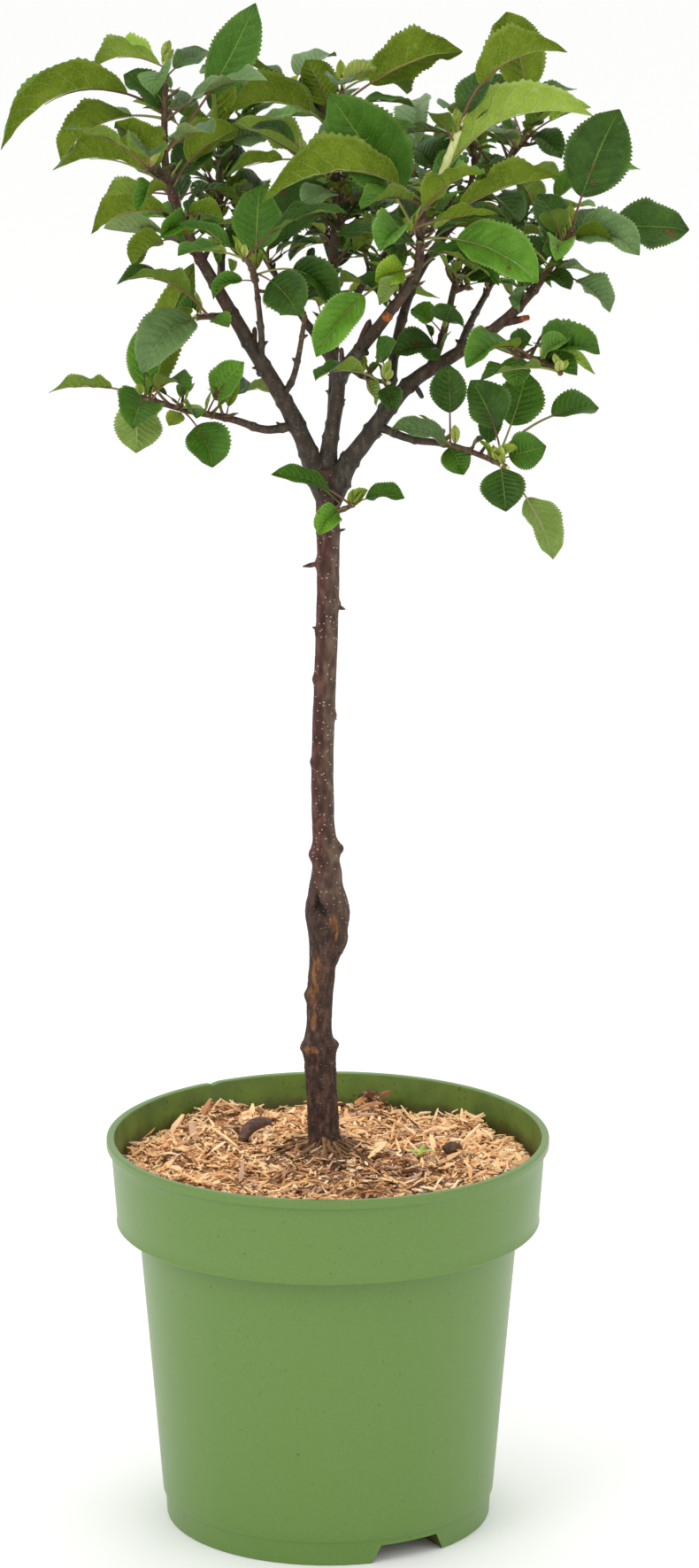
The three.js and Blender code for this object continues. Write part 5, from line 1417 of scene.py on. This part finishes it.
for spray in grown_sprays:
    number = spray["number"]
    for k in range(spray["more"]):
        for attempt in range(TRIES):
            around = math.radians(GOLDEN_ANGLE * k + 360 * chance(number, 0, 1) + TRY_TURN * attempt)
            leaf = {key: least + span * chance(number, k, use + 10 * attempt * (key == "rise"))
                    for key, (least, span, use) in RULE_LEAF.items()}
            leaf["petiole"] /= 100
            leaf |= {"root": leaf_root(spray, len(spray["outer"]) + k),
                     "heading": math.degrees(math.atan2(DEPTH_BIAS * math.sin(around),
                                                        math.cos(around))),
                     "width": leaf["reach"] * (1 - leaf["petiole"]) * leaf["slimness"],
                     "lift": leaf["reach"] * leaf["arch"],
                     "tone": ADDED_TONES[int(chance(number, k, 8) * len(ADDED_TONES))]}
            if try_leaf(spray["owner"], leaf, ADDED):
                break


# ---- Stems and twigs of the foliage ----
# The green shoots that carry the leaves go on from the boughs' bark without a seam, so boughs, shoots
# and twigs are one joined mesh. Finer twigs stand off every spray and carry a few small leaves: they
# keep inside the mass, and behind its leaves as seen from the front, so that the gaps stay open.
TWIG_LIMB = {"sides": 10, "joint": 9.0, "first": 5.0, "last": 6,
             "youth": ([0, 0.5, 1], [0.45, 0.7, 1.0]), "grain_seed": 300}
# Each spray has a number of finer twigs, rooted back from its top. near and overlap are how close the
# leaves before have to be, in space and as seen from the front along a line that falls by slope.
SPURS = {"each": 8, "back": (3, 26), "rise": (-5, 60), "length": (6, 15), "sag": 0.6, "sides": 8,
         "radius": (0.85, 0.5), "joint": 0.6, "youth": ([0, 0.5, 1], [0.5, 0.75, 1.0]), "clear": 2.4,
         "wood": 0.8, "near": 14.0, "overlap": 3.4, "slope": 0.24, "seed": 5000, "grain_seed": 900}
# What each of a finer twig's small leaves draws, in this order, from the least to the most.
SMALL_LEAF = {"reach": (13, 26), "petiole": (0.15, 0.3), "aside": (-40, 40), "rise": (0, 55),
              "slimness": (0.4, 0.54), "arch": (0.02, 0.12), "turn": (-25, 25), "tone": (0, 7)}
SMALL_LEAVES = {"count": 3, "apart": 0.28, "turned": 120, "narrow": 0.8, "tones": "mmodbgl"}
# The ends of some shoots are still soft and pale: how far back from the tip, and the greatest radius.
SOFT_TIPS = {"centre_right": (38, 2.1), "left": (9, 1.4), "leader": (10, 1.4), "right_top": (8, 1.5),
             "left_spur": (6, 1.4), "fork": (6, 1.3), "right_low": (7, 1.4)}
SOFT_RINGS, SOFT_SIDES = 14, 12


def small_leaf_fits(leaf):
    """Whether a leaf's dots keep clear of all leaves and, past the two at its foot, of all wood, yet
    lie near other blades in space and, seen from the front along a line that falls by slope, behind
    one within the overlap."""
    dots, _ = leaf_dots(leaf)
    blades = accepted["places"][accepted["blade"]]
    if distances(dots, accepted["places"]).min() < SPURS["clear"]:
        return False
    if (distances(dots[2:], wood["places"]) < wood["radii"] + SPURS["wood"]).any():
        return False
    apart = dots[:, None] - blades[None]
    beside = np.hypot(apart[..., 0], apart[..., 2] + SPURS["slope"] * apart[..., 1])
    hidden = np.where(apart[..., 1] > 0, beside, np.inf).min(axis=1).max() < SPURS["overlap"]
    return hidden and np.linalg.norm(apart, axis=-1).min(axis=1).max() < SPURS["near"]


spurs = []
for spray in grown_sprays:
    draw = np.random.default_rng(SPURS["seed"] + spray["number"])
    line = spray["line"]
    for _ in range(SPURS["each"]):
        share = max(spray["top"] - draw.uniform(*SPURS["back"]) / line["length"], spray["lowest"])
        root, heading = point_at(line, share), draw.uniform(0, 2 * np.pi)
        rise = np.radians(draw.uniform(*SPURS["rise"]))
        level = math.cos(rise)
        out = np.array([math.cos(heading) * level, math.sin(heading) * level, math.sin(rise)])
        tip = root + out * draw.uniform(*SPURS["length"])
        twig = smooth_line([root, (root + tip) / 2 - [0, 0, SPURS["sag"]], tip], 4)
        grown = 0
        for k in range(SMALL_LEAVES["count"]):
            leaf = {key: draw.uniform(*span) for key, span in SMALL_LEAF.items()}
            leaf |= {"root": point_at(twig, 1 - SMALL_LEAVES["apart"] * k),
                     "heading": (math.degrees(heading) + leaf["aside"]
                                 + SMALL_LEAVES["turned"] * (k - 1)),
                     "width": leaf["reach"] * leaf["slimness"] * SMALL_LEAVES["narrow"],
                     "lift": leaf["reach"] * leaf["arch"],
                     "tone": SMALL_LEAVES["tones"][int(leaf["tone"])]}
            if small_leaf_fits(leaf):
                keep_leaf(leaf, spray["owner"], *leaf_dots(leaf))
                grown += 1
        if grown:
            spurs.append(twig)
for number, twig in enumerate(spurs):
    add_limb(bough_wood, twig, SPURS["radius"], SPURS["youth"], [SPURS["joint"] * twig["length"]],
             SPURS["sides"], SPURS["grain_seed"] + 3 * number)
for number, bough in enumerate(boughs.values()):
    for k, twig in enumerate(bough["twigs"]):
        line = twig["line"]
        joints = np.arange(TWIG_LIMB["first"], line["length"] - TWIG_LIMB["last"], TWIG_LIMB["joint"])
        add_limb(bough_wood, line, twig["radius"], TWIG_LIMB["youth"], joints, TWIG_LIMB["sides"],
                 TWIG_LIMB["grain_seed"] + 20 * number + k)

bough_bark = bark_material(
    "bough_bark", [(0.3, "#221e1a"), (0.5, "#38322b"), (0.72, "#575046")],
    [(0.3, "#4a3a28"), (0.5, "#645032"), (0.72, "#7a7044")], [(0.3, "#6e3d1e"), (0.6, "#b5652b")],
    [(0.3, "#33201a"), (0.5, "#4d3128"), (0.72, "#684a3c")], "#ada08a",
    (0.5, 0.75), [(380, 0.0004), (1300, 0.0002)])
# A soft tip's radius is its greatest times sqrt(sin(pi s)), a little ringed.
tips = []
for name, (length, swell) in SOFT_TIPS.items():
    line = boughs[name]["line"]
    reached = line["length"] - length * np.linspace(1, 0, SOFT_RINGS)
    share = reached / line["length"]
    closing = np.sqrt(np.sin(np.pi * np.linspace(0.06, 0.97, SOFT_RINGS)))
    body = tube(line, share, (swell + 0.2 * np.sin(reached * 1.3)) * closing, SOFT_SIDES)
    end = point_at(line, 1.0) + 0.6 * direction_at(line, 1.0)
    tips.append((*capped(body, point_at(line, share[0]), end), (1, 0, 0, 0)))
tip_skin = bark_material(
    "soft_tip", [(0.3, "#aab25a"), (0.7, "#c9cf86")], [(0.32, "#b4bb66"), (0.6, "#d3d69a")],
    [(0.3, "#7a4a2a"), (0.6, "#b9793f")], [(0.3, "#8f7a3c"), (0.7, "#b4a35e")], "#dfe0ba",
    (0.45, 0.6), [(700, 0.0002)])
soft_tips = bark_object("soft_tips", tips, tip_skin)
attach(soft_tips, "root")

limbs = bark_object("bough_bark", bough_wood, bough_bark)
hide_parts(*[f"bough_{name}" for name, bough in boughs.items() if bough["bare"] > 0],
            *[f"foliage_{name}" for name in boughs])
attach(limbs, "root")


# ---- Leaves ----
# Apple leaves: a thin oval blade with a pointed tip and a saw edge, folded along its midrib, darker
# and glossier above than below, with side veins that alternate left and right and a fine net between.
# The colours of one tone: blade above in two shades, its veins, blade below in two shades, its veins.
LEAF_TONES = {
    "d": ("#27470b", "#36590f", "#66853a", "#566f1e", "#627a26", "#8b9c55"),
    "m": ("#35600c", "#426e14", "#74933c", "#617920", "#6d852a", "#97a863"),
    "b": ("#4c7d12", "#5f921f", "#94b35c", "#708a2e", "#7d9739", "#a8b876"),
    "l": ("#6f9110", "#84a61c", "#a9c25a", "#86a032", "#93ac40", "#b8c980"),
    "o": ("#3f6f10", "#4b7c18", "#7a9940", "#586e10", "#6b7f1c", "#94a452"),
    "p": ("#55852a", "#618f34", "#8fae58", "#6c8638", "#7a9344", "#a3b476"),
    "g": ("#587640", "#66844c", "#8a9f68", "#708648", "#7d9254", "#a3b283"),
    "y": ("#8ba02c", "#9fb33c", "#bccb6c", "#a3b450", "#b2c15e", "#cbd68c"),
}
TONE_NAMES = {"d": "dark", "m": "middle", "b": "bright", "l": "lime", "o": "olive", "p": "pale",
              "g": "grey", "y": "young"}
SPOTTED = "db"                   # tones with brown spots
SPOT_BROWN = "#5c401a"
VEINS = {"pairs": 9, "slant": 0.2, "curve": 1.3, "pillow": 2.6, "relief": 0.0005, "midrib": 0.85,
         "rim": 0.35}
# What each side of a blade shows: roughness, gloss, and how strong the net and the side veins are.
SIDES = {True: ((0.3, 0.42), 0.22, 0.16, 0.55), False: ((0.6, 0.75), 0.06, 0.3, 0.75)}
# Sizes of blade: the shortest length, rows along it, columns out from the midrib and teeth to a row.
BLADE_SIZES = ((30.0, 15, (0.28, 0.6, 0.88), 2), (17.0, 10, (0.42, 0.84), 2), (0.0, 7, (0.7,), 1))
BLADE = {"thick": 0.34, "ripple": 0.7, "groove": 0.3, "tooth": 0.09, "wave": 0.18, "curl": 0.07,
         "twist": 14, "uneven": 0.05, "least": 0.12, "taper": 0.36, "rolled_at": 0.4, "crowded": 0.55,
         "slow_turns": 1.7, "quick_turns": 4.6, "quick_share": 0.4, "skew": 0.92, "full": 0.7,
         "drawn_in": (0.86, 0.14), "waves": (0.3, 1.4), "curls": (-0.5, 3.0), "sharp": 60, "seed": 1000}
# How much more each kind of leaf is folded than the rule says, and by how much that strays, in degrees.
MORE_FOLD = {"o": 20, "l": 16, "p": 12}
USUAL_FOLD, FOLD_STRAY = 2, 7
# Young leaves stand folded round each shoot's tip.
YOUNG = {"count": 3, "reach": (7, 15), "rise": (42, 80), "slimness": 0.4, "petiole": 0.12, "back": 1.2,
         "above": 1.5, "at_tip": 16, "turn": 20, "tones": "yyl", "seed": 3000}
# The second map has spare cells for each side of a blade, which fills its cell but for a margin.
SHEET = {"spare": 1.8, "filled": 0.94, "margin": 0.03}


def blade_outline(v):
    """Half a blade's width over its greatest half, at a share v of its length: sin(pi v^skew)^full,
    drawn in over the last seventh to a short point."""
    start, span = BLADE["drawn_in"]
    drawn = np.clip((v - start) / span, 0, 1)
    oval = np.sin(np.pi * np.clip(v, 0, 1) ** BLADE["skew"]) ** BLADE["full"]
    return oval * (1 - BLADE["taper"] * drawn)


def blade_paint(name, shades, rib, above, spotted):
    """The finish of one side of a blade. The map blade gives the share across, u, and along, v. The
    midrib lies at u = 0.5. Side veins lie where the fraction of 9 (v - 0.2 (2|u - 0.5|)^1.3) is 0.5,
    shifted by half a step on one half, so they slant to the tip and alternate. Mottling, the net of
    fine veins and brown spots are noises of the object's own coordinates."""
    roughness, gloss, net_share, vein_share = SIDES[above]
    material = patterned(name, 95, 5, [(0.38, shades[0]), (0.64, shades[1])], roughness,
                         [(900, 0.00006)], Specular_IOR_Level=gloss)
    tree = material.node_tree
    normal = tree.nodes["Principled BSDF"].inputs["Normal"]
    uv = add_node(tree, "UVMap", {"uv_map": "blade"}).outputs["UV"]
    across, along, _ = add_node(tree, "SeparateXYZ", Vector=uv).outputs
    aside = maths(tree, "ABSOLUTE", maths(tree, "SUBTRACT", across, 0.5))
    aside = times(tree, aside, 2.0)
    half_step = times(tree, maths(tree, "GREATER_THAN", across, 0.5), 0.5)
    slant = times(tree, maths(tree, "POWER", aside, VEINS["curve"]), VEINS["slant"])
    steps = times(tree, maths(tree, "SUBTRACT", along, slant), VEINS["pairs"])
    steps = maths(tree, "ADD", steps, half_step)
    steps = maths(tree, "ADD", steps, times(tree, noise(tree, 130, 2), 0.5))
    near = maths(tree, "ABSOLUTE", maths(tree, "SUBTRACT", maths(tree, "FRACT", steps), 0.5))
    thin = rest(tree, times(tree, aside, 0.75))
    side_vein = rest(tree, ease(tree, near, 0.015, 0.075))
    side_vein = times(tree, side_vein, thin)
    midrib = rest(tree, ease(tree, aside, 0.02, 0.06))
    place = add_node(tree, "TexCoord").outputs["Object"]
    cells = add_node(tree, "TexVoronoi", {"feature": "DISTANCE_TO_EDGE"}, Vector=place, Scale=520)
    net = rest(tree, ease(tree, cells.outputs["Distance"], 0.0, 0.14))
    for share, strength in ((net, net_share), (side_vein, vein_share), (midrib, VEINS["midrib"]),
                            (ease(tree, aside, 0.86, 1.0), VEINS["rim"])):
        lay_over(material, times(tree, share, strength), rib)
    if spotted:
        lay_over(material, specks(tree, 74, 3, 0.655, 0.70, 0.9), SPOT_BROWN)
    relief = maths(tree, "MAXIMUM", side_vein, midrib)
    relief = maths(tree, "ADD", relief, times(tree, net, 0.3))
    pillow = maths(tree, "SUBTRACT", 0.5, near)
    pillow = times(tree, pillow, rest(tree, aside))
    relief = maths(tree, "ADD", relief, times(tree, pillow, VEINS["pillow"]))
    ridges = add_node(tree, "Bump", {"invert": above}, Height=relief, Distance=VEINS["relief"],
                      Normal=normal.links[0].from_socket)
    feed(tree, normal, ridges.outputs["Normal"])
    return material


def blade_faces(rows, inner, teeth):
    """Faces of one blade. Points come as the upper grid, the under grid, then the left and the right
    edge, which have a point at each row, one at each tooth and one in the notch between two teeth.
    Both sides are split alike, so that they stay apart. Returns quads and triangles, and the side of
    the blade that each face is on."""
    upper = np.arange(rows * inner).reshape(rows, inner)
    shift = rows * inner
    step = 2 * teeth
    left = 2 * shift + np.arange(step * (rows - 1) + 1)
    right = left + len(left)
    quads = grid_faces(rows, inner)
    near, far = upper[:-1], upper[1:]
    strips = []
    for edge, column, turned_round in ((right, -1, False), (left, 0, True)):
        at = [edge[step * np.arange(rows - 1) + k] for k in range(step + 1)]
        fans = [(near[:, column], at[k], at[k + 1]) for k in range(teeth)]
        fans += [(near[:, column], at[teeth], far[:, column])]
        fans += [(far[:, column], at[k], at[k + 1]) for k in range(teeth, step)]
        for fan in fans:
            strips.append(np.stack(fan[::-1] if turned_round else fan, axis=-1))
    strips = np.concatenate(strips)
    under_strips = np.where(strips < shift, strips + shift, strips)[:, ::-1]
    under = upper + shift
    foot = np.stack([upper[0, :-1], under[0, :-1], under[0, 1:], upper[0, 1:]], axis=-1)
    tip = np.stack([upper[-1, :-1], under[-1, :-1], under[-1, 1:], upper[-1, 1:]], axis=-1)[:, ::-1]
    corners = np.array([
        [left[0], under[0, 0], upper[0, 0]], [upper[0, -1], under[0, -1], right[0]],
        [left[-1], upper[-1, 0], under[-1, 0]], [upper[-1, -1], right[-1], under[-1, -1]]])
    sets = [np.concatenate([quads, foot, tip, quads[:, [0, 3, 2, 1]] + shift]),
            np.concatenate([corners, strips, under_strips])]
    sides = [np.repeat([0, 1], [len(quads) + len(foot) + len(tip), len(quads)]),
             np.repeat([0, 1], [4 + len(strips), len(strips)])]
    return sets, sides


def blade_points(group, row_steps, inner_columns, teeth):
    """Points of a group of blades, (n, points, 3), with each point's share across and along. At blade
    share v and column c the surface lies c times half the width out from the centre line, folded up,
    rolled by twist, waved at the edge, drooping at the tip and rippled all over."""
    even = np.linspace(0, 1, row_steps + 1)
    crowded = 0.5 - 0.5 * np.cos(np.pi * even)
    rows = (1 - BLADE["crowded"]) * even + BLADE["crowded"] * crowded
    columns = np.concatenate([-np.array(inner_columns)[::-1], [0], inner_columns])
    keys = ("width", "fold", "wave", "twist", "phase", "curl", "uneven", "reach", "petiole")
    width, fold, wave, twist, phase, curl, uneven, reach, petiole = (
        np.array([[leaf[key]] for leaf in group], float) for key in keys)
    length = reach * (1 - petiole)

    def surface(t, c):
        """Places and face directions of all blades, at the same shares t and columns c on each."""
        share = np.broadcast_to(t, (len(group), len(t)))
        centre, across, face = (np.stack(parts) for parts in zip(*[
            leaf_frame(leaf, leaf["petiole"] + (1 - leaf["petiole"]) * t) for leaf in group]))
        half = np.maximum(width / 2 * blade_outline(share), BLADE["least"])
        half = half * (1 + uneven * np.sign(c))
        bend = fold * (1 - 0.3 * np.abs(c)) * (0.6 + 0.8 * np.sin(np.pi * np.clip(share, 0, 1)))
        out = c * half * np.cos(bend)
        rise = np.abs(c) * half * np.sin(bend) + curl * length * np.clip(share - 0.5, 0, 1) ** 2
        around = 2 * np.pi * share
        slow = np.sin(BLADE["slow_turns"] * around + phase + 1.7 * (c > 0))
        quick = np.sin(BLADE["quick_turns"] * around + 2 * phase + 2.3 * (c > 0))
        large = np.clip(length / 40, 0.4, 1.4)
        waves = np.minimum(large, 1) * slow + BLADE["quick_share"] * (large - 0.4) * quick
        rise = rise + wave * half * c ** 2 * waves
        roll = np.radians(twist) * (share - BLADE["rolled_at"])
        side_way = out * np.cos(roll) - rise * np.sin(roll)
        up_way = out * np.sin(roll) + rise * np.cos(roll)
        points = centre + across * side_way[..., None] + face * up_way[..., None]
        dents = BLADE["ripple"] * np.minimum(1, half / 6) * ripple(points, 11, 501)
        return points + face * dents[..., None], face

    v, c = (grid.ravel() for grid in np.meshgrid(rows, columns, indexing="ij"))
    middle, face = surface(v, c)
    thin = BLADE["thick"] / 2 * np.minimum(1, 1.3 * (1 - np.abs(c)) + 0.2)
    groove = BLADE["groove"] * (c == 0) * (1 - v)
    upper = middle + face * (thin - groove)[:, None]
    under = middle - face * thin[:, None]
    count = 2 * teeth * row_steps + 1
    edge_v = np.interp(np.arange(count), np.arange(row_steps + 1) * 2 * teeth, rows)
    edge_v = edge_v + np.where(np.arange(count) % 2 == 1, 0.28, 0.0) / count
    tooth = np.where(np.arange(count) % 2 == 1, 1 + BLADE["tooth"] * np.sin(np.pi * edge_v) ** 0.5, 1.0)
    left, _ = surface(edge_v, -tooth)
    right, _ = surface(edge_v, tooth)
    shares = np.concatenate([np.stack([c, v], axis=-1)] * 2 + [
        np.stack([sign * tooth, edge_v], axis=-1) for sign in (-1, 1)])
    return np.concatenate([upper, under, left, right], axis=1), shares * [0.5, 1.0] + [0.5, 0.0]


def finish_leaf(leaf, number):
    """The leaf with its own fold, edge wave, twist, uneven halves and curl, drawn from its number."""
    draw = np.random.default_rng(BLADE["seed"] + number)
    more_fold = MORE_FOLD.get(leaf["tone"], USUAL_FOLD) + FOLD_STRAY * draw.uniform(-1, 1)
    return leaf | {"fold": fold_of(leaf) + math.radians(more_fold),
                   "wave": BLADE["wave"] * draw.uniform(*BLADE["waves"]),
                   "twist": BLADE["twist"] * draw.normal(), "phase": draw.uniform(0, 2 * np.pi),
                   "uneven": draw.normal(0, BLADE["uneven"]),
                   "curl": -BLADE["curl"] * draw.uniform(*BLADE["curls"])}


for spray in grown_sprays:
    draw = np.random.default_rng(YOUNG["seed"] + spray["number"])
    length = spray["line"]["length"]
    at_tip = spray["on_twig"] or spray["top"] > 1 - YOUNG["at_tip"] / length
    for k in range(YOUNG["count"] if at_tip else 1):
        reach = draw.uniform(*YOUNG["reach"])
        share = spray["top"] + (YOUNG["above"] - YOUNG["back"] * k) / length
        leaves.append({"root": point_at(spray["line"], share), "reach": reach,
                       "heading": GOLDEN_ANGLE * k + draw.uniform(0, 360),
                       "rise": draw.uniform(*YOUNG["rise"]), "petiole": YOUNG["petiole"],
                       "width": reach * YOUNG["slimness"], "lift": draw.normal(0, 0.6),
                       "turn": draw.uniform(-YOUNG["turn"], YOUNG["turn"]), "tone": YOUNG["tones"][k]})
finished = [finish_leaf(leaf, number) for number, leaf in enumerate(leaves)]

masses = [f"foliage_{name}" for name in boughs]
blade_length = np.array([leaf["reach"] * (1 - leaf["petiole"]) for leaf in finished])
size_class = np.argmax(blade_length[:, None] >= [size[0] for size in BLADE_SIZES], axis=1)
for tone, (top_a, top_b, rib_above, under_a, under_b, rib_below) in LEAF_TONES.items():
    points, face_sets, picks, places, cells = [], [], [], [], []
    count, cell = 0, 0
    for number, (_, row_steps, inner_columns, teeth) in enumerate(BLADE_SIZES):
        group = [leaf for leaf, size in zip(finished, size_class)
                 if size == number and leaf["tone"] == tone]
        if not group:
            continue
        shapes, shares = blade_points(group, row_steps, inner_columns, teeth)
        sets, sides = blade_faces(row_steps + 1, 2 * len(inner_columns) + 1, teeth)
        first = count + shapes.shape[1] * np.arange(len(group))[:, None, None]
        for faces, side in zip(sets, sides):
            face_sets.append((faces + first).reshape(-1, faces.shape[1]))
            picks.append(np.tile(side, len(group)))
            number_of = cell + 2 * np.arange(len(group))[:, None] + side
            cells.append(np.repeat(number_of.ravel(), faces.shape[1]))
            places.append(np.tile(shares[faces].reshape(-1, 2), (len(group), 1)))
        points.append(shapes.reshape(-1, 3))
        count += shapes.shape[0] * shapes.shape[1]
        cell += 2 * len(group)
    name = TONE_NAMES[tone]
    paints = [blade_paint(f"{name}_blade", (top_a, top_b), rib_above, True, tone in SPOTTED),
              blade_paint(f"{name}_underside", (under_a, under_b), rib_below, False, False)]
    piece = mesh_object(f"leaves_{name}", np.concatenate(points), face_sets, paints,
                        np.concatenate(picks))
    places, cells = np.concatenate(places), np.concatenate(cells)
    # A second map lays every side of every blade in a cell of its own, with a margin.
    wide = math.ceil(math.sqrt(SHEET["spare"] * cell))
    tall = math.ceil(cell / wide)
    inside = np.clip(places, 0, 1) * SHEET["filled"] + SHEET["margin"]
    sheet = (np.stack([cells % wide, cells // wide], axis=-1) + inside) / [wide, tall]
    for map_name, corners in (("blade", places), ("OFBake", sheet)):
        layer = piece.data.uv_layers.new(name=map_name)
        layer.data.foreach_set("uv", corners.astype(np.float32).ravel())
    piece.data.set_sharp_from_angle(angle=math.radians(BLADE["sharp"]))
    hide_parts(*masses)
    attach(piece, "root")


# ---- Leaf stalks ----
# Each leaf hangs on a thin stalk, thick at its foot and of a reddish brown to olive drawn at random,
# which runs on under the blade as the raised midrib.
STALK = {"foot": 0.95, "neck": 0.6, "tip": 0.2, "reach": 0.62, "below": 0.38, "rings": 15, "sides": 7,
         "seed": 4000}
# Its radius at shares of its length: a swollen foot, the stalk, the neck under the blade, the tip.
STALK_SHAPE = ((0, 0.08, 0.5, 1),
               (1.25 * STALK["foot"], 0.8 * STALK["foot"], STALK["neck"], STALK["tip"]))
STALK_COLOURS = ("#6f4633", "#7f5a38", "#76713a", "#87894a", "#5a3328")
STALK_SHARES = (0.3, 0.22, 0.22, 0.16, 0.1)


def stalk_tubes(group):
    """Tubes along the leaves' centre lines, (n, rings, sides, 3): the radius falls from foot to neck
    along the stalk and on to the tip under the blade, where the line drops below the blade."""
    share = np.linspace(0, 1, STALK["rings"])
    turn = np.arange(STALK["sides"]) * 2 * np.pi / STALK["sides"]
    tubes = []
    for leaf in group:
        petiole = leaf["petiole"]
        blade = petiole + (share - 0.5) * 2 * STALK["reach"] * (1 - petiole)
        u = np.where(share < 0.5, share * 2 * petiole, blade)
        centre, across, face = leaf_frame(leaf, u)
        scale = min(1.0, 0.3 + leaf["reach"] / 90)
        radius = scale * np.interp(share, *STALK_SHAPE)
        v = np.clip((u - petiole) / (1 - petiole), 0, 1)
        sink = np.where(v > 0, STALK["below"] * scale, 0.0)
        sink = sink - leaf["curl"] * leaf["reach"] * np.clip(v - 0.5, 0, 1) ** 2
        roll = turn + (np.radians(leaf["twist"]) * (v - BLADE["rolled_at"]) * (v > 0))[:, None]
        spoke = across[:, None] * np.cos(roll)[..., None] + face[:, None] * np.sin(roll)[..., None]
        tubes.append((centre - face * sink[:, None])[:, None] + spoke * radius[:, None, None])
    return np.array(tubes)


tubes = stalk_tubes(finished)
rings, sides = STALK["rings"], STALK["sides"]
tube_faces = wrapped_faces(rings, sides)[:, ::-1]
caps = np.stack([np.arange(sides), (rings - 1) * sides + np.arange(sides)[::-1]])
offsets = rings * sides * np.arange(len(tubes))[:, None, None]
draw = np.random.default_rng(STALK["seed"])
colours = draw.choice(len(STALK_COLOURS), len(tubes), p=STALK_SHARES)
stalk_paints = [plain(f"stalk_{k}", colour, 0.5) for k, colour in enumerate(STALK_COLOURS)]
face_sets = [(tube_faces + offsets).reshape(-1, 4), (caps + offsets).reshape(-1, sides)]
picks = np.concatenate([np.repeat(colours, len(tube_faces)), np.repeat(colours, 2)])
stalks = mesh_object("leaf_stalks", tubes.reshape(-1, 3), face_sets, stalk_paints, picks)
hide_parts(*masses)
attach(stalks, "root")
